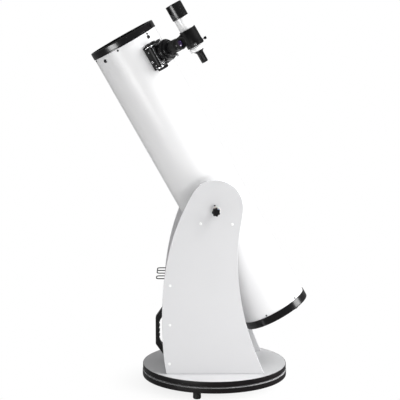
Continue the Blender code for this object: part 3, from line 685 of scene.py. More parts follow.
def build_side_panels():
    outline = panel_outline(0.0003)
    core = inset(outline, TAPE + 0.00005)
    base = BASE @ shift(0, 0, TABLE_HIGH) @ side(-1)
    cap = [(0, 0), (0.0048, 0, 0), (0.0048, 0.0004, 0.0002), (0.0036, 0.0011, 0.001),
           (0, 0.0013)]
    for label, sign in (("left", -1), ("right", 1)):
        low, high = (-PANEL_OUT, -PANEL_IN) if sign > 0 else (PANEL_IN, PANEL_OUT)
        panel = raw(f"panel_{label}", prism(core, low, high), "laminate", base)
        hole = rod(TENSION_HOLE, low - 0.01, high + 0.01, 48)
        carve(panel, hole, base @ shift(PIVOT.x - BASE.translation.x, PIVOT.z - TABLE_HIGH, 0))
        dress(panel, "rocker", (f"side_panel_{label}",), bevel=0.0004, steps=2)
        edge_tape(f"panel_tape_{label}", outline, low, high, base)
        for number, (x, z) in enumerate(CAPS, 1):
            spot = BASE @ shift(x, sign * PANEL_OUT, TABLE_HIGH + z) @ side(sign)
            piece(f"screw_cap_{label}_{number}", turned(cap, segments=40), "cap", "rocker", spot)
        stop = PIVOT_FRAME @ shift(-0.004, sign * PANEL_OUT, 0.0175) @ side(sign)
        plug = [(0, 0.0004), (0.0014, 0.0004), (0.0016, 0.0012), (0.0028, 0.0010, 0.0004),
                (0.0030, 0, 0), (0, 0)]
        piece(f"stop_plug_{label}", turned(plug, 0.0002, 32), "plastic", "rocker", stop)


def build_studs():
    """Nylon studs that carry the altitude bearings, each with a screw in its end."""
    for label, sign in (("left", -1), ("right", 1)):
        for place_name in ("front", "rear"):
            node = f"bearing_stud_{label}_{place_name}"
            low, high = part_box(node)
            middle = (low + high) / 2
            length, radius = high.y - low.y, (high.x - low.x) / 2
            inner = min(abs(low.y), abs(high.y))
            spot = shift(middle.x, sign * inner, middle.z) @ side(sign)
            profile = [(0, 0.002), (0.0052, 0.002), (0.0052, 0, 0.0003), (radius, 0, 0.0014),
                       (radius, length), (0, length)]
            piece(f"stud_{label}_{place_name}", turned(profile, segments=56), "nylon", "rocker",
                  spot, (node,))
            screw(f"stud_screw_{label}_{place_name}", 0.0040, 0.0016, "zinc", "rocker",
                  spot @ shift(0, 0, 0.002) @ FLIP)


def build_front_board():
    half = PANEL_IN - 0.0003
    low, high = FRONT_LOW, FRONT_HIGH
    outline = [(low.x, -half), (high.x, -half), (high.x, half), (low.x, half)]
    board = prism(outline, low.z, high.z - TAPE)
    piece("front_panel", board, "laminate", "rocker", BASE, ("front_board",), bevel=0.0004,
          steps=2)
    strip = prism([(x, y * 0.9999) for x, y in outline], high.z - TAPE + 0.00005, high.z)
    piece("front_panel_tape", strip, "edge_tape", "rocker", BASE, bevel=0.0003, steps=2)


def on_slope(root, tip, share):
    """Frame on the slope between two (x, z) points, with Z pointing out of it towards -X."""
    here = Vector(root).lerp(Vector(tip), share)
    run = (Vector(tip) - Vector(root)).normalized()
    outward = Vector((-abs(run.y), 0, run.x * (1 if run.y > 0 else -1)))
    along = Vector((run.x, 0, run.y))
    return axes(along, outward.cross(along), outward, (here.x, 0, here.y))


def build_handle():
    """Moulded handle with a waved grip between two sloping legs, and a screw in each leg."""
    grip_out, grip_in, wave = -0.208, -0.195, 0.0022
    top_out, top_in, low_in, low_out = 0.231, 0.1655, 0.0695, 0.0065
    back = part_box("carry_handle")[1].x - BASE.translation.x
    outline = [(back, top_out, 0.001), (grip_out, top_in, 0.003), (grip_out, low_in, 0.003),
               (back, low_out, 0.001), (back, 0.038, 0.001)]
    low, high, steps = 0.082, 0.152, 96
    outline.append((grip_in + 0.003, low - 0.004, 0.002))
    for i in range(steps + 1):
        t = i / steps
        outline.append((grip_in + wave * cos(4 * WHOLE_TURN * t), low + (high - low) * t, 0))
    outline += [(grip_in + 0.003, high + 0.004, 0.002), (back, 0.204, 0.001)]
    base = BASE @ shift(0, 0, TABLE_HIGH)
    handle = raw("handle", prism(fillet(outline, 0.003, 5), -0.014, 0.014), "plastic",
                 base @ side(-1))
    legs = (((back, top_out), (grip_out, top_in)), ((back, low_out), (grip_out, low_in)))
    for number, (root, tip) in enumerate(legs, 1):
        spot = base @ on_slope(root, tip, 0.34)
        hole = [(0, -0.0022), (0.0046, -0.0022), (0.0050, 0.002), (0, 0.002)]
        carve(handle, lathe(hole, 32), spot)
        screw(f"handle_screw_{number}", 0.0040, 0.0016, "zinc", "rocker",
              spot @ shift(0, 0, -0.0022))
    dress(handle, "rocker", ("carry_handle",), bevel=0.0034, steps=4, sharp=50)


def build_rack():
    """Thin plated strip on the front board with bent wire loops that hold eyepieces."""
    box_low, box_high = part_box("eyepiece_rack")
    level, rod, pitch = (box_low.z + box_high.z) / 2, 0.0018, 0.044
    back, front = box_high.x, box_low.x
    half = box_high.y
    plate = prism(fillet([(-half, -0.007), (half, -0.007), (half, 0.007), (-half, 0.007)],
                         0.004, 5), 0, 0.0018)
    piece("rack_strip", plate, "black_screw", "rocker", facing_x(back - 0.0020, 0, level),
          ("eyepiece_rack",), bevel=0.0003)
    bend = 0.010
    for number, (first, last) in enumerate(((-2, -1), (0, 2)), 1):
        near, far = first * pitch, last * pitch
        path = [(back - 0.001, near, level)]
        path += [(x, y, level) for x, y in
                 arc(bend, -pi / 2, -pi, 10, (front + rod + bend, near + bend))]
        path += [(x, y, level) for x, y in
                 arc(bend, pi, pi / 2, 10, (front + rod + bend, far - bend))]
        path.append((back - 0.001, far, level))
        piece(f"rack_loop_{number}", wire(path, rod, 14), "black_screw", "rocker")
    bar = [(back - 0.001, pitch, level), (front + rod, pitch, level)]
    piece("rack_bar", wire(bar, rod, 14), "black_screw", "rocker")
    for number, y in enumerate((-1.5 * pitch, -0.5 * pitch, 1.5 * pitch), 1):
        spot = axes((0, 1, 0), (0, 0, -1), (-1, 0, 0), (back - 0.0020, y, level))
        screw(f"rack_screw_{number}", 0.0038, 0.0016, "zinc", "rocker", spot)


def build_rocker():
    round_board("table_panel", "table_board", TABLE_RADIUS, TABLE_LOW, TABLE_HIGH, "rocker")
    edge_band("table_rim", "table_edge_band", TABLE_BAND, TABLE_LOW, TABLE_HIGH, "rocker")
    build_side_panels()
    build_studs()
    build_front_board()
    build_handle()
    build_rack()


# ---------------------------------------------------------------- optical tube
TUBE_RADIUS = 0.1175
TUBE_WALL = 0.0012
TUBE_LOW, TUBE_HIGH = -0.4440, 0.6605      # distances along the tube, from the pivot
RING_RADIUS = 0.1203
TOP_RING, BOTTOM_RING = (0.6392, 0.6632), (-0.4189, -0.4465)
RING_LIP = 0.1125


def light_opening():
    """Cutter for the round hole in the tube and in the saddle, below the focuser."""
    return rod(0.0305, 0.09, 0.14, 64)


def build_tube_shell():
    inner = TUBE_RADIUS - TUBE_WALL
    profile = [(inner, TUBE_LOW), (TUBE_RADIUS, TUBE_LOW), (TUBE_RADIUS, TUBE_HIGH),
               (inner, TUBE_HIGH)]
    shell = raw("tube_shell", lathe(profile, 240), "tube_paint", TUBE)
    carve(shell, light_opening(), FOCUSER)
    limit = TUBE_RADIUS - TUBE_WALL / 2
    paint(shell, "flocking", lambda c, n: sqrt(c.x ** 2 + c.y ** 2) < limit)
    dress(shell, "tube", ("optical_tube",))


def build_end_rings():
    skirt = TUBE_RADIUS + 0.0004
    foot, top = TOP_RING
    inner_edge = TUBE_HIGH + 0.0004
    profile = [(skirt, foot, 0.0002), (RING_RADIUS - 0.0002, foot, 0.0008),
               (RING_RADIUS - 0.0002, foot + 0.0032, 0.0003),
               (RING_RADIUS - 0.0007, foot + 0.0038, 0.0002),
               (RING_RADIUS - 0.0007, foot + 0.0044, 0.0002),
               (RING_RADIUS - 0.0003, foot + 0.0050, 0.0003), (RING_RADIUS - 0.0003, top, 0.0090),
               (RING_LIP + 0.0005, top, 0.0012), (RING_LIP, top - 0.0015, 0.0005),
               (RING_LIP, inner_edge, 0.0003), (skirt, inner_edge, 0.0002)]
    piece("top_ring", turned(profile, segments=256, steps=7), "enamel", "tube", TUBE,
          ("top_end_ring",))
    foot, low = BOTTOM_RING
    inner_edge = TUBE_LOW - 0.0004
    profile = [(skirt, foot, 0.0002), (RING_RADIUS, foot, 0.0008), (RING_RADIUS, low, 0.0042),
               (RING_LIP, low, 0.0010), (RING_LIP, inner_edge, 0.0003),
               (skirt, inner_edge, 0.0002)]
    piece("bottom_ring", turned(profile, segments=256, steps=6), "enamel", "tube", TUBE,
          ("bottom_end_ring",))


def on_tube(angle, along, radius=TUBE_RADIUS):
    return TUBE @ around(angle, along) @ shift(0, 0, radius)


def build_tube_screws():
    """Screws through the tube into both rings, and the outside nuts of the spider's vanes."""
    for k in range(6):
        screw(f"top_ring_screw_{k + 1}", 0.0034, 0.0021, "plastic", "tube",
              on_tube(radians(-72 + 60 * k), TOP_RING[0] - 0.0060))
        screw(f"bottom_ring_screw_{k + 1}", 0.0032, 0.0020, "plastic", "tube",
              on_tube(radians(-14.9 + 60 * k), BOTTOM_RING[0] + 0.0045))
    washer = [(0, 0), (0.0070, 0, 0), (0.0068, 0.0012), (0.0050, 0.0013), (0, 0.0013)]
    nut = [(0, 0.0010), (0.0052, 0.0010, 0), (0.0052, 0.0042, 0.0008), (0.0036, 0.0052, 0.001),
           (0.0016, 0.0056), (0, 0.0050)]
    for number, angle in enumerate(VANE_ANGLES, 1):
        spot = on_tube(angle, 0.6217)
        piece(f"vane_washer_{number}", turned(washer, segments=48), "steel", "tube", spot)
        piece(f"vane_nut_{number}", turned(nut, 0.0003, 96, ribs(24, 0.0005, 0.0040)),
              "black_screw", "tube", spot)


def build_bearings():
    """Moulded side bearings, with a rounded rim and a recessed face, seated on the tube."""
    for label, sign in (("left", -1), ("right", 1)):
        node = f"altitude_bearing_{label}"
        low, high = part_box(node)
        radius, face = (high.z - low.z) / 2, max(abs(low.y), abs(high.y))
        bore = 0.0046
        profile = [(bore, 0.100, 0), (radius, 0.100, 0), (radius, face - 0.0090, 0.0008),
                   (radius - 0.0012, face - 0.0082, 0.0004),
                   (radius - 0.0012, face - 0.0072, 0.0004), (radius, face - 0.0064, 0.0008),
                   (radius, face, 0.0015), (radius - 0.010, face, 0.0008),
                   (radius - 0.0108, face - 0.0015, 0.0005), (0.0175, face - 0.0015, 0.0005),
                   (0.0165, face, 0.0006), (bore, face, 0.0005)]
        disc = raw(f"side_bearing_{label}", turned(profile, segments=128), "plastic",
                   TUBE @ side(sign))
        carve(disc, rod(TUBE_RADIUS + 0.0006, -0.09, 0.09, 240), TUBE)
        dress(disc, "tube", (node,))
        for k in range(4):
            angle = radians(45 + 90 * k)
            spot = TUBE @ side(sign) @ shift(0.036 * cos(angle), 0.036 * sin(angle),
                                             face - 0.0015)
            screw(f"bearing_screw_{label}_{k + 1}", 0.0040, 0.0012, "zinc", "tube", spot)


VANE_ANGLES = [FOCUSER_ANGLE - pi / 2 + k * pi / 2 for k in range(4)]


def build_spider():
    low, high = 0.6118, 0.6318
    hub = raw("spider_vanes", prism(spokes(0.0125, 0.0005, 0.1155, VANE_ANGLES), low, high),
              "enamel", TUBE)
    carve(hub, rod(0.0044, 0.605, 0.645, 48), TUBE)
    dress(hub, "tube", ("spider",), bevel=0.0002, steps=2)

    toward = Vector((sin(FOCUSER_ANGLE), -cos(FOCUSER_ANGLE)))
    count = 96

    def slanted(radius, lift):
        return [(x, y, FOCUSER_AT + toward.dot((x, y)) + lift)
                for x, y in circle(radius, count)]

    def level(radius, height):
        return [(x, y, height) for x, y in circle(radius, count)]

    back = 0.006 * sqrt(2)
    glass = raw("diagonal_mirror", loft([slanted(0.0245, 0), slanted(0.025, 0.0005),
                                         slanted(0.025, back)]), "glass_edge", TUBE)
    facing = Vector((toward.x, toward.y, -1)).normalized()
    paint(glass, "mirror", lambda c, n: n.dot(facing) > 0.98)
    dress(glass, "secondary", ("secondary_mirror",))
    rings = [slanted(0.0235, back + 0.0006), level(0.0235, 0.5905), level(0.0229, 0.5920),
             level(0.0215, 0.5925), level(0.0060, 0.5930), level(0.0048, 0.5955),
             level(0.0040, 0.5970), level(0.0040, 0.6405), level(0.0034, 0.6410)]
    piece("diagonal_holder", loft(rings), "plastic", "secondary", TUBE, ("secondary_holder",))
    for k in range(3):
        angle = FOCUSER_ANGLE + radians(60 + 120 * k)
        spot = TUBE @ shift(0.0092 * cos(angle), 0.0092 * sin(angle), high)
        screw(f"spider_screw_{k + 1}", 0.0019, 0.0024, "zinc", "tube", spot)


# ---------------------------------------------------------------- primary mirror and cell
KNOB_CIRCLE = 0.075              # radius of the circle of collimation knobs
KNOB_HOLE = 0.0037
KNOB_ANGLES = [radians(90 + 120 * k) for k in range(3)]
FRAME_LOW, FRAME_HIGH = -0.4405, -0.4325
PLATE_LOW, PLATE_HIGH = -0.4215, -0.4155
MIRROR_RADIUS, MIRROR_BACK, MIRROR_FRONT = 0.1015, -0.4152, -0.3912
FOCAL_LENGTH = 1.2


def build_mirror_cell():
    centres = [(KNOB_CIRCLE * cos(a), KNOB_CIRCLE * sin(a)) for a in KNOB_ANGLES]
    outline = fillet(spokes(0.034, 0.013, 0.1155, KNOB_ANGLES), 0.0015, 2)
    cell = raw("cell_frame", prism(outline, FRAME_LOW, FRAME_HIGH), "cast", TUBE)
    pocket = fillet([(-0.020, -0.0085), (0.010, -0.0085), (0.010, 0.0085), (-0.020, 0.0085)],
                    0.003)
    for angle, (x, y) in zip(KNOB_ANGLES, centres):
        carve(cell, rod(KNOB_HOLE, FRAME_LOW - 0.01, FRAME_HIGH + 0.005, 32),
              TUBE @ shift(x, y, 0))
        turn = Matrix.Rotation(angle, 4, "Z")
        carve(cell, prism(pocket, FRAME_LOW - 0.01, FRAME_LOW + 0.0035),
              TUBE @ turn @ shift(0.052, 0, 0))
    carve(cell, rod(0.022, FRAME_LOW - 0.01, FRAME_LOW + 0.003, 64), TUBE)
    dress(cell, "tube", ("mirror_cell_frame",), bevel=0.0007, steps=2)

    outline = fillet(spokes(0.045, 0.016, 0.1045, KNOB_ANGLES), 0.0015, 2)
    plate = raw("mirror_plate", prism(outline, PLATE_LOW, PLATE_HIGH), "cast", TUBE)
    inner, outer, over = MIRROR_RADIUS + 0.0005, 0.1044, MIRROR_RADIUS - 0.004
    cap = MIRROR_FRONT + 0.0004
    clip = [(outer, PLATE_LOW + 0.002), (outer, cap + 0.002), (over, cap + 0.002),
            (over, cap), (inner, cap), (inner, PLATE_LOW + 0.002)]
    for angle in KNOB_ANGLES:
        turn = TUBE @ Matrix.Rotation(angle, 4, "Z") @ side(-1)
        carve(plate, prism(fillet(clip, 0.0006), -0.007, 0.007), turn, "UNION")
    for x, y in centres:
        carve(plate, rod(KNOB_HOLE, PLATE_LOW - 0.005, PLATE_HIGH + 0.005, 32),
              TUBE @ shift(x, y, 0))
    dress(plate, "mirror", ("mirror_support_plate",), bevel=0.0004, steps=2)

    chamfer = 0.0008
    edge, steps = MIRROR_RADIUS - chamfer, 12
    radii = [edge - edge * k / steps for k in range(steps)] + [0]
    dish = [(r, MIRROR_FRONT - (MIRROR_RADIUS ** 2 - r * r) / (4 * FOCAL_LENGTH)) for r in radii]
    profile = [(0, MIRROR_BACK), (edge, MIRROR_BACK),
               (MIRROR_RADIUS, MIRROR_BACK + chamfer), (MIRROR_RADIUS, MIRROR_FRONT - chamfer)]
    glass = raw("main_mirror", lathe(profile + dish, 160), "glass_edge", TUBE)
    paint(glass, "mirror", lambda c, n: n.z > 0.95 and c.z > MIRROR_FRONT - 0.004)
    dress(glass, "mirror", ("primary_mirror",))


def build_collimation():
    """Knobs and springs between the cell's frame and the mirror's plate, and the cell's screws."""
    top = FRAME_LOW - 0.0003
    profile = [(0, top - 0.0185), (0.0058, top - 0.0185, 0.0005), (0.0066, top - 0.0190, 0.0005),
               (0.0100, top - 0.0190, 0.0012), (0.0110, top - 0.0175, 0.0008),
               (0.0110, top - 0.0040, 0.0015), (0.0072, top - 0.0008, 0.001),
               (0.0060, top, 0.0004), (0.003, top, 0)]
    stem = threads(0.003, top + 0.0005, -0.4180)
    profile += [(r, z, 0) for r, z in stem] + [(0, -0.4175)]
    shape = ribs(6, 0.0030, 0.0090, top - 0.05, top - 0.0010)
    turns, wire_radius, coil, steps = 4.5, 0.00075, 0.0062, 110
    low, high = FRAME_HIGH + wire_radius + 0.0001, PLATE_LOW - wire_radius - 0.0015
    path = [(coil * cos(WHOLE_TURN * turns * i / steps),
             coil * sin(WHOLE_TURN * turns * i / steps),
             low + (high - low) * i / steps) for i in range(steps + 1)]
    reach = 0.1040
    for number, angle in enumerate(KNOB_ANGLES, 1):
        x, y = KNOB_CIRCLE * cos(angle), KNOB_CIRCLE * sin(angle)
        knob = raw(f"mirror_knob_{number}", turned(profile, segments=120, shape=shape),
                   "plastic", TUBE @ shift(x, y, 0))
        paint(knob, "zinc", lambda c, n: c.z > top + 0.0003)
        dress(knob, f"collimation_knob_{number}", (f"collimation_knob_{number}",))
        piece(f"cell_spring_{number}", wire(path, wire_radius, 10), "steel", "tube",
              TUBE @ shift(x, y, 0))
        spot = TUBE @ shift(reach * cos(angle), reach * sin(angle), FRAME_LOW) @ FLIP
        screw(f"cell_screw_{number}", 0.0040, 0.0020, "zinc", "tube", spot)


# ---------------------------------------------------------------- tension knobs
def build_tension():
    outer = PANEL_OUT
    washer_low, washer_high = outer + 0.0003, outer + 0.0032
    boss, head, end = washer_high + 0.0003, outer + 0.013, outer + 0.035
    lobes, deep = 7, 0.0026
    for label, sign in (("left", -1), ("right", 1)):
        profile = [(0, 0.1195), (0.0032, 0.1195, 0), (0.0040, 0.1203, 0), (0.0040, boss, 0),
                   (0.0095, boss, 0.0004), (0.0090, boss + 0.0055, 0.001),
                   (0.0085, head, 0.001), (0.0140, head, 0.0008), (0.0146, head + 0.002, 0.001),
                   (0.0146, end - 0.003, 0.0015), (0.0125, end, 0.0022),
                   (0.0072, end, 0.0006), (0.0066, end - 0.0007, 0.0004), (0, end - 0.0007)]
        shape = ribs(lobes, deep, 0.0105, low=head - 0.0001)
        knob = raw(f"side_knob_{label}", turned(profile, segments=168, shape=shape, steps=4),
                   "plastic", TUBE @ side(sign))
        body = f"tension_knob_{label}"
        dress(knob, body, (f"tension_knob_{label}",))
        washer = [(0.0044, washer_low), (0.0170, washer_low), (0.0170, washer_high, 0.0009),
                  (0.0044, washer_high)]
        piece(f"side_washer_{label}", turned(washer, 0.0003, 72), "nylon", body,
              TUBE @ side(sign), (f"tension_washer_{label}",))


# ---------------------------------------------------------------- focuser
AXLE_RADIUS = 0.003
DRAWTUBE_RADIUS = 0.0275
AXLE_AT = FOCUSER.inverted() @ spot_of("focus_knob_turn")
AXLE = FOCUSER @ axes((1, 0, 0), (0, 0, -1), (0, 1, 0), (AXLE_AT.x, 0, AXLE_AT.z))
CLAMP_HOLE = 0.0022              # radius of the hole for each clamp screw
KNOB_RADIUS = 0.0188
SADDLE_TOP = 0.1235
BODY_TOP = 0.149
COLLAR_LOW, COLLAR_HIGH, COLLAR_RADIUS = 0.158, 0.174, 0.0375


def tube_cutter(radius):
    """Long cylinder round the tube's axis, for seating a piece on the tube."""
    return rod(radius, -0.2, 0.75, 240)


def thumbscrew(name, node, body, matrix, tip, head, end, mats=("steel", "steel"),
               radius=0.0048):
    """Threaded shaft along local Z and a knurled head with a turned recess in its end."""
    shaft = 0.0016
    profile = [(0, tip), (shaft - 0.0004, tip, 0)]
    profile += [(r, z, 0) for r, z in threads(shaft, tip + 0.0004, head - 0.0010, 0.0007)]
    profile += [(shaft + 0.0010, head - 0.0008, 0), (shaft + 0.0010, head, 0),
                (radius - 0.0006, head, 0.0003), (radius, head + 0.0009, 0.0004),
                (radius, end - 0.0009, 0.0004), (radius - 0.0008, end, 0.0004),
                (radius * 0.55, end, 0.0002), (radius * 0.45, end - 0.0006, 0.0002),
                (0, end - 0.0006)]
    knob = raw(name, turned(profile, segments=96, shape=ribs(24, 0.00045, radius - 0.0002)),
               mats[0], matrix)
    knob["slot"] = SLOTS[mats[1]]
    paint(knob, mats[1], lambda c, n: c.z > head - 0.0005)
    return dress(knob, body, (node,))


def build_focuser_base():
    half_angle = radians(21.4)
    outline = arc(TUBE_RADIUS + 0.0005, pi / 2 - half_angle, pi / 2 + half_angle, 40)
    outline += arc(SADDLE_TOP, pi / 2 + half_angle, pi / 2 - half_angle, 40)
    saddle = raw("saddle", prism(outline, -0.043, 0.043), "cast", FOCUSER @ side(-1))
    across, along = SADDLE_TOP * sin(half_angle) + 0.0005, 0.0431
    plan = [(-across, -along), (across, -along), (across, along), (-across, along)]
    carve(saddle, prism(fillet(plan, 0.0045, 6), 0.08, 0.15), FOCUSER, "INTERSECT")
    carve(saddle, light_opening(), FOCUSER)
    dress(saddle, "tube", ("focuser_base",), bevel=0.0008, steps=2, sharp=45)
    for k, (x, y) in enumerate(((-1, -1), (1, -1), (1, 1), (-1, 1)), 1):
        angle = FOCUSER_ANGLE + x * radians(17.8)
        screw(f"saddle_screw_{k}", 0.0035, 0.0018, "steel", "tube",
              on_tube(angle, FOCUSER_AT + y * 0.0365, SADDLE_TOP - 0.0001))


def build_focuser_body():
    bore = 0.0283
    profile = [(bore, 0.113), (0.0345, 0.113), (0.0345, 0.1285, 0.0012),
               (0.0336, 0.1300, 0.0006), (0.0336, 0.1425, 0.0006), (0.0345, 0.1440, 0.0006),
               (0.0345, BODY_TOP, 0.0015), (0.0318, BODY_TOP, 0.0004),
               (0.0312, BODY_TOP - 0.0008, 0.0003), (0.0306, BODY_TOP, 0.0003),
               (bore, BODY_TOP, 0.0006)]
    housing = raw("focuser_housing", turned(profile, segments=128), "cast", FOCUSER)
    block = [(-0.0470, 0.113), (-0.0200, 0.113), (-0.0200, BODY_TOP - 0.0005),
             (-0.0410, BODY_TOP - 0.0005, 0.003), (-0.0470, BODY_TOP - 0.006, 0.003)]
    carve(housing, prism(fillet(block, 0.0, 4), -0.034, 0.034), FOCUSER @ side(-1), "UNION")
    carve(housing, tube_cutter(SADDLE_TOP + 0.0006), TUBE)
    carve(housing, rod(bore, 0.09, 0.17, 128), FOCUSER)
    carve(housing, rod(AXLE_RADIUS + 0.0006, -0.04, 0.04, 40), AXLE)
    lock = FOCUSER @ facing_x(0, -0.012, 0.131) @ FLIP
    carve(housing, rod(CLAMP_HOLE, 0.02, 0.06, 32), lock)
    split_large_faces(housing)
    dress(housing, "tube", ("focuser_body",), bevel=0.0006, steps=2, sharp=45)
    thumbscrew("focus_lock", "focus_lock_screw", "focus_lock_screw", lock, 0.0256, 0.0476,
               0.0560)

    # Bearing plate that holds the axle down, on the outward face of the block.
    face = BODY_TOP - 0.0005
    plate = fillet([(-0.0395, -0.0300), (-0.0292, -0.0300), (-0.0292, 0.0300),
                    (-0.0395, 0.0300)], 0.002, 4)
    cover = raw("axle_plate", prism(plate, face, face + 0.0011), "zinc", FOCUSER)
    carve(cover, rod(bore, 0.09, 0.17, 128), FOCUSER)
    dress(cover, "tube", bevel=0.0003, steps=2)
    for k, y in ((1, -0.0265), (4, 0.0265)):
        screw(f"axle_plate_screw_{k}", 0.0022, 0.0012, "steel", "tube",
              FOCUSER @ shift(-0.0355, y, face + 0.0011))
    for k, (y, z) in enumerate(((0.022, 0.131), (-0.028, 0.131)), 1):
        screw(f"block_screw_{k}", 0.0027, 0.0014, "steel", "tube",
              FOCUSER @ facing_x(-0.047, y, z) @ FLIP)


def build_focus_axle():
    axle = [(0, -0.049), (AXLE_RADIUS, -0.049, 0.0006), (AXLE_RADIUS, 0.049, 0.0006), (0, 0.049)]
    piece("knob_axle", turned(axle, segments=48), "steel", "focus_axle", AXLE, ("focus_axle",))
    near, far = 0.037, 0.050
    hub = AXLE_RADIUS + 0.0003
    profile = [(hub, near, 0), (0.0085, near, 0.0005), (0.0090, near + 0.0010, 0.0004),
               (0.0160, near + 0.0010, 0.0004), (0.0166, near, 0.0004),
               (0.0182, near, 0.0006), (KNOB_RADIUS, near + 0.0012, 0.0008),
               (KNOB_RADIUS, near + 0.0030, 0.0002), (KNOB_RADIUS, far - 0.0015, 0.0008),
               (0.0180, far, 0.0008), (0.0150, far, 0.0005), (0.0143, far - 0.0012, 0.0004),
               (0.0090, far - 0.0012, 0.0005), (0.0080, far, 0.0006), (hub, far, 0.0004)]
    grip = ribs(42, 0.0007, 0.0184)
    for label, sign in (("upper", 1), ("lower", -1)):
        facing = AXLE @ Matrix.Rotation(0 if sign > 0 else pi, 4, "X")
        knob = raw(f"focus_wheel_{label}", turned(profile, segments=210, shape=grip),
                   "plastic", facing)
        paint(knob, "steel", lambda c, n: sqrt(c.x ** 2 + c.y ** 2) < 0.0086 or
              c.z < near + 0.0030 or (0.0150 < sqrt(c.x ** 2 + c.y ** 2) < 0.0180 and
                                      c.z > far - 0.0006 and n.z > 0.8))
        dress(knob, "focus_axle", (f"focus_knob_{label}",))


def build_drawtube():
    bore = 0.0257
    low, high = COLLAR_LOW, COLLAR_HIGH
    profile = [(bore, 0.095), (DRAWTUBE_RADIUS, 0.095), (DRAWTUBE_RADIUS, low, 0.0008),
               (0.0350, low, 0.0006), (0.0358, low + 0.0008, 0.0004),
               (COLLAR_RADIUS, low + 0.0020, 0.0008), (COLLAR_RADIUS, low + 0.0050, 0.0003),
               (COLLAR_RADIUS - 0.0008, low + 0.0054, 0.0002),
               (COLLAR_RADIUS - 0.0008, low + 0.0062, 0.0002),
               (COLLAR_RADIUS, low + 0.0066, 0.0003), (COLLAR_RADIUS, high - 0.0040, 0.0010),
               (0.0362, high - 0.0018, 0.0008), (0.0352, high - 0.0016, 0.0003),
               (0.0348, high - 0.0010, 0.0003), (0.0330, high - 0.0004, 0.0005),
               (0.0322, high - 0.0008, 0.0002), (0.0314, high, 0.0003), (bore, high, 0.0004)]
    tube = raw("draw_sleeve", turned(profile, segments=144), "anodised", FOCUSER)
    clamp = FOCUSER @ radial(radians(215), 0.1645)
    carve(tube, rod(CLAMP_HOLE, 0.02, 0.05, 32), clamp)
    dress(tube, "drawtube", ("drawtube",))
    thumbscrew("draw_clamp", "drawtube_lock_screw", "drawtube_lock_screw", clamp, 0.0262,
               0.0430, 0.0540)

    seat, top, barrel_bore = COLLAR_HIGH + 0.0003, 0.1845, 0.0163
    profile = [(barrel_bore, 0.150), (0.0253, 0.150), (0.0253, seat), (0.0295, seat, 0.0003),
               (0.0300, seat + 0.0010, 0.0005), (0.0300, seat + 0.0034, 0.0004),
               (0.0291, seat + 0.0038, 0.0003), (0.0291, seat + 0.0046, 0.0003),
               (0.0300, seat + 0.0050, 0.0004), (0.0300, top - 0.002, 0.0012),
               (0.0275, top, 0.0015), (0.0235, top, 0.0004), (0.0229, top - 0.0006, 0.0002),
               (0.0223, top, 0.0003), (barrel_bore, top, 0.0006)]
    adapter = raw("ocular_adapter", turned(profile, segments=144), "anodised", FOCUSER)
    clamp = FOCUSER @ radial(radians(300), 0.1795)
    carve(adapter, rod(CLAMP_HOLE, 0.01, 0.05, 32), clamp)
    dress(adapter, "drawtube", ("eyepiece_adapter",))
    thumbscrew("ocular_clamp", "eyepiece_lock_screw", "eyepiece_lock_screw", clamp, 0.0168,
               0.0320, 0.0400, radius=0.0044)


def build_eyepiece():
    base, crown = 0.1848, 0.2360
    grip_low, grip_high = base + 0.0150, crown - 0.0130
    profile = [(0, 0.1615), (0.0130, 0.1615, 0.0005), (0.0134, 0.160, 0.0004),
               (0.0158, 0.160, 0.0005), (0.0158, base, 0.0), (0.0195, base, 0.0006),
               (0.0205, base + 0.0016, 0.0006), (0.0205, grip_low - 0.0030, 0.0008),
               (0.0217, grip_low, 0.0006), (0.0220, grip_low + 0.0010, 0.0003),
               (0.0220, grip_high - 0.0010, 0.0003), (0.0217, grip_high, 0.0006),
               (0.0205, crown - 0.0020, 0.0030), (0.0195, crown, 0.0008),
               (0.0128, crown, 0.0006), (0.0118, crown - 0.0022, 0.0005),
               (0, crown - 0.0022)]
    shape = ribs(48, 0.0006, 0.0218)
    barrel = raw("ocular_body", turned(profile, segments=192, shape=shape), "anodised", FOCUSER)
    paint(barrel, "rubber", lambda c, n: grip_low < c.z < grip_high)
    paint(barrel, "steel", lambda c, n: c.z < base - 0.0001)
    dress(barrel, "eyepiece", ("eyepiece_barrel",))
    low, foot = crown + 0.0003, 0.0125
    cup = [(foot, low), (0.0205, low, 0.0005), (0.0222, crown + 0.0030, 0.0015),
           (0.0203, crown + 0.0100, 0.0010), (0.0180, crown + 0.0100, 0.0010),
           (0.0140, crown + 0.0035, 0.0012)]
    piece("ocular_cup", turned(cup, segments=120), "rubber", "eyepiece", FOCUSER,
          ("eyepiece_eyecup",))
    back = crown - 0.0021
    piece("eye_lens", lens(0.0116, back, back, 0.0036, 96), "lens", "eyepiece", FOCUSER)


# ---------------------------------------------------------------- finder
SHOE_AT = 0.5475
BRACKET_LOW, BRACKET_HIGH = 0.5115, 0.5755
BRACKET_RADIUS, BRACKET_BORE = 0.0300, 0.0277
FINDER_RADIUS = 0.0254
FINDER_AXIS = (FINDER.translation - PIVOT).length
SCREW_AT = 0.5195


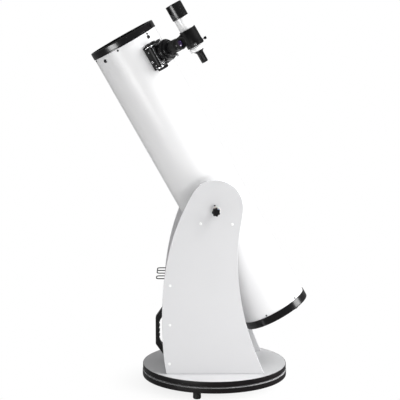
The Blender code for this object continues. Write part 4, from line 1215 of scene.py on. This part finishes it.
def build_finder_mount():
    mount = TUBE @ around(FINDER_ANGLE, SHOE_AT)
    rail, floor, top = 0.016, 0.1235, 0.1305
    outline = [(-rail, 0.112, 0), (rail, 0.112, 0), (rail, top, 0.0012), (0.0095, top, 0.0004),
               (0.0125, floor, 0.0004), (-0.0125, floor, 0.0004), (-0.0095, top, 0.0004),
               (-rail, top, 0.0012)]
    shoe = raw("dovetail_shoe", prism(fillet(outline, 0.0004, 3), -0.021, 0.021), "cast",
               mount @ side(-1))
    carve(shoe, tube_cutter(TUBE_RADIUS + 0.0006), TUBE)
    dress(shoe, "tube", ("finder_shoe",), bevel=0.0005, steps=2, sharp=45)
    grip = [(0, 0), (0.0014, 0), (0.0014, 0.0030), (0.0038, 0.0030, 0.0004),
            (0.0042, 0.0036, 0.0003), (0.0042, 0.0085, 0.0005), (0.0034, 0.0092, 0.0003),
            (0, 0.0092)]
    piece("shoe_clamp", turned(grip, 0.0002, 96, ribs(20, 0.0005, 0.0040)), "steel", "tube",
          mount @ facing_x(rail, 0, 0.1275))

    foot = [(-0.0118, 0.1239), (0.0118, 0.1239), (0.0091, 0.1302), (0.0091, 0.1340),
            (-0.0091, 0.1340), (-0.0091, 0.1302)]
    bracket = raw("finder_stem", prism(fillet(foot, 0.0005), -0.020, 0.020), "plastic",
                  mount @ side(-1))
    top = FINDER_AXIS - BRACKET_BORE - 0.0003
    stalk = bezier((0.020, 0.131), (0.0165, 0.142), (0.0150, 0.168), (0.0240, top), 24)
    stalk += [(0.0240, top)]
    stalk += [(-y, z) for y, z in reversed(stalk)]
    carve(bracket, prism(stalk, -0.0085, 0.0085), mount @ facing_x(), "UNION")
    low, high, bore, skin = BRACKET_LOW, BRACKET_HIGH, BRACKET_BORE, BRACKET_RADIUS
    ring = [(bore, low), (skin + 0.001, low, 0.0008), (skin + 0.001, low + 0.0140, 0.0008),
            (skin, low + 0.0155, 0.0006), (skin, high - 0.0052, 0.0004),
            (skin - 0.0006, high - 0.0046, 0.0003), (skin - 0.0006, high - 0.0038, 0.0003),
            (skin, high - 0.0032, 0.0004), (skin, high, 0.0010), (bore, high, 0.0005)]
    carve(bracket, turned(ring, 0.0004, 144), FINDER, "UNION")
    for angle in (0, -90, 135):
        carve(bracket, rod(0.0023, 0.02, 0.04, 32), FINDER @ radial(radians(angle), SCREW_AT))
    dress(bracket, "finder_bracket", ("finder_bracket",), sharp=32)

    thumbscrew("aim_screw_outer", "finder_screw_outer", "finder_screw_outer",
               FINDER @ radial(0, SCREW_AT), 0.0271, 0.0360, 0.0450, ("steel", "plastic"))
    thumbscrew("aim_screw_side", "finder_screw_side", "finder_screw_side",
               FINDER @ radial(radians(-90), SCREW_AT), 0.0271, 0.0360, 0.0450)
    pin = [(0, 0.0260), (0.0016, 0.0264, 0.0003), (0.0016, 0.0334, 0.0002),
           (0.0040, 0.0334, 0.0004), (0.0040, 0.0404, 0.0008), (0.0030, 0.0414, 0.0006),
           (0, 0.0414)]
    piece("aim_plunger", turned(pin, segments=48), "steel", "finder_plunger",
          FINDER @ radial(radians(135), SCREW_AT), ("finder_plunger",))


def build_finder():
    skin = FINDER_RADIUS
    profile = [(skin - 0.0012, 0.5088), (skin, 0.5088), (skin, 0.6201, 0.0004),
               (skin - 0.0012, 0.6201)]
    tube = raw("finder_barrel", turned(profile, 0.0002, 128), "white_anodised", FINDER)
    paint(tube, "flocking", lambda c, n: sqrt(c.x ** 2 + c.y ** 2) < skin - 0.0006)
    dress(tube, "finder", ("finder_tube",))

    ring = [(0.0128, 0.4937), (0.0262, 0.4937, 0.0010), (0.0280, 0.4951, 0.0008),
            (0.0280, 0.5070, 0.0008), (0.0264, 0.5084, 0.0008), (0.0128, 0.5084)]
    shape = ribs(44, 0.0007, 0.0277)
    piece("finder_lock_ring", turned(ring, segments=220, shape=shape), "white_anodised",
          "finder", FINDER, ("finder_rear_ring",))

    lip, rim = 0.6205, 0.6740
    cap = [(0, 0.6085), (0.0236, 0.6085), (0.0236, lip, 0.0002), (0.0285, lip, 0.0005),
           (0.0290, lip + 0.0008, 0.0004), (0.0290, lip + 0.0048, 0.0003),
           (0.0284, lip + 0.0053, 0.0002), (0.0284, lip + 0.0060, 0.0002),
           (0.0290, lip + 0.0065, 0.0003), (0.0290, rim, 0.0009), (0.0272, rim, 0.0005)]
    for k in range(5):
        height = rim - 0.0020 - 0.0050 * k
        cap += [(0.0268, height, 0.0002), (0.0262, height - 0.0010, 0.0002),
                (0.0268, height - 0.0020, 0.0002)]
    cap += [(0.0268, 0.6470), (0.0235, 0.6465, 0.0003), (0.0235, 0.6430), (0, 0.6430)]
    piece("dew_shield", turned(cap, segments=144), "anodised", "finder_objective_cell", FINDER,
          ("finder_dew_cap",))
    piece("finder_objective", lens(0.0234, 0.6431, 0.6430, 0.0038, 128), "lens",
          "finder_objective_cell", FINDER)

    profile = [(0, 0.5075), (0.0122, 0.5075), (0.0122, 0.4932, 0), (0.0172, 0.4930, 0.0006),
               (0.0172, 0.4897, 0.0006), (0.0149, 0.4883, 0.0005), (0.0132, 0.4870, 0.0005),
               (0.0132, 0.4853, 0.0004), (0.0119, 0.4840, 0.0004), (0.0119, 0.4525, 0.0006),
               (0.0116, 0.4512, 0.0004), (0.0116, 0.4492, 0.0005), (0.0104, 0.4470, 0.0008),
               (0.0086, 0.4470, 0.0004), (0.0074, 0.4496, 0.0004), (0, 0.4496)]
    grip = ribs(26, 0.0008, 0.0118, 0.4520, 0.4837)
    piece("finder_ocular", turned(profile, segments=156, shape=grip), "plastic",
          "finder_eyepiece", FINDER, ("finder_eyepiece",))
    piece("finder_eye_lens", lens(0.0073, 0.4499, 0.4497, -0.0018, 72, 10), "lens",
          "finder_eyepiece", FINDER)


# ---------------------------------------------------------------- studio
def area_light(name, spot, aim, size, power):
    light = bpy.data.lights.new(name, "AREA")
    light.shape = "RECTANGLE"
    light.size, light.size_y = size
    light.energy = power
    obj = bpy.data.objects.new(name, light)
    bpy.context.scene.collection.objects.link(obj)
    obj.location = spot
    obj.rotation_euler = (Vector(aim) - Vector(spot)).to_track_quat("-Z", "Y").to_euler()
    return obj


def build_world(fill, mirrored):
    """White surroundings: pure white to the camera, softer as a light, dim in reflections."""
    world = bpy.data.worlds.new("studio")
    bpy.context.scene.world = world
    world.use_nodes = True
    tree = world.node_tree
    background = tree.nodes["Background"]
    background.inputs["Color"].default_value = (1, 1, 1, 1)
    path = tree.nodes.new("ShaderNodeLightPath")
    strength = fill
    for kind, value in (("Is Glossy Ray", mirrored), ("Is Camera Ray", 1.0)):
        mix = tree.nodes.new("ShaderNodeMix")
        tree.links.new(path.outputs[kind], mix.inputs[0])
        if isinstance(strength, float):
            mix.inputs[2].default_value = strength
        else:
            tree.links.new(strength, mix.inputs[2])
        mix.inputs[3].default_value = value
        strength = mix.outputs[0]
    tree.links.new(strength, background.inputs["Strength"])


def floor_paint():
    """Pale floor that fades to pure white for the camera, and is dim in reflections."""
    mat = finish("pale_floor", (0.93, 0.93, 0.93), 0.6, cloud=1.5, tint=0.01, grain=80.0,
                 relief=0.05)
    nodes, links = mat.node_tree.nodes, mat.node_tree.links
    path = nodes.new("ShaderNodeLightPath")
    length = nodes.new("ShaderNodeVectorMath")
    length.operation = "LENGTH"
    links.new(nodes["Texture Coordinate"].outputs["Object"], length.inputs[0])
    fade = nodes.new("ShaderNodeMapRange")
    fade.interpolation_type = "SMOOTHSTEP"
    fade.inputs["From Min"].default_value = 0.10
    fade.inputs["From Max"].default_value = 0.36
    fade.inputs["To Min"].default_value = 0.80
    links.new(length.outputs["Value"], fade.inputs["Value"])
    seen = nodes.new("ShaderNodeMath")
    seen.operation = "MULTIPLY"
    links.new(path.outputs["Is Camera Ray"], seen.inputs[0])
    links.new(fade.outputs["Result"], seen.inputs[1])
    surface = nodes["Principled BSDF"].outputs[0]
    for factor, strength in ((path.outputs["Is Glossy Ray"], 0.2), (seen.outputs[0], 1.0)):
        glow = nodes.new("ShaderNodeEmission")
        glow.inputs["Color"].default_value = (1, 1, 1, 1)
        glow.inputs["Strength"].default_value = strength
        blend = nodes.new("ShaderNodeMixShader")
        links.new(factor, blend.inputs[0])
        links.new(surface, blend.inputs[1])
        links.new(glow.outputs[0], blend.inputs[2])
        surface = blend.outputs[0]
    links.new(surface, nodes["Material Output"].inputs["Surface"])
    return mat


def build_floor():
    bm = bmesh.new()
    bmesh.ops.create_grid(bm, x_segments=8, y_segments=8, size=60.0)
    mesh = bpy.data.meshes.new("floor")
    bm.to_mesh(mesh)
    bm.free()
    mesh.materials.append(floor_paint())
    floor = bpy.data.objects.new("floor", mesh)
    bpy.context.scene.collection.objects.link(floor)
    floor.location.z = -0.0005


CAMERA_SPOT = Vector((-0.0571, -5.4346, 1.602))   # from the foot of the azimuth axis
CAMERA_DROP = 9.895                                # degrees below level
CAMERA_TURN = -0.0011                              # radians about the vertical
CAMERA_LENS = 142.1                                # millimetres, on a 36 mm sensor


def build_camera():
    camera = bpy.data.cameras.new("camera")
    camera.lens = CAMERA_LENS
    camera.sensor_width = 36.0
    camera.clip_end = 200.0
    obj = bpy.data.objects.new("camera", camera)
    bpy.context.scene.collection.objects.link(obj)
    obj.location = BASE.translation + CAMERA_SPOT
    obj.rotation_euler = (radians(90 - CAMERA_DROP), 0, CAMERA_TURN)
    bpy.context.scene.camera = obj


def build_studio():
    bpy.context.scene.view_settings.view_transform = "Standard"
    build_world(0.50, 0.20)
    build_floor()
    key = area_light("key", (2.5, -1.0, 3.5), (0.15, 0, 0.3), (2.6, 2.6), 122)
    key.visible_glossy = False
    area_light("right", (3.0, -0.4, 1.35), (0.2, 0, 0.1), (1.3, 1.0), 45)
    low = area_light("low_front", (0.6, -2.3, 0.02), (0, -0.15, 0.1), (0.9, 0.15), 16)
    low.visible_glossy = False
    streak = area_light("streak", (-1.65, -2.10, 0.36), (-0.3, 0, 1.2), (1.7, 0.5), 42)
    streak.visible_diffuse = False
    build_camera()


def main():
    build_ground_base()
    build_rocker()
    build_tube_shell()
    build_end_rings()
    build_tube_screws()
    build_bearings()
    build_spider()
    build_mirror_cell()
    build_collimation()
    build_tension()
    build_focuser_base()
    build_focuser_body()
    build_focus_axle()
    build_drawtube()
    build_eyepiece()
    build_finder_mount()
    build_finder()
    build_studio()


main()
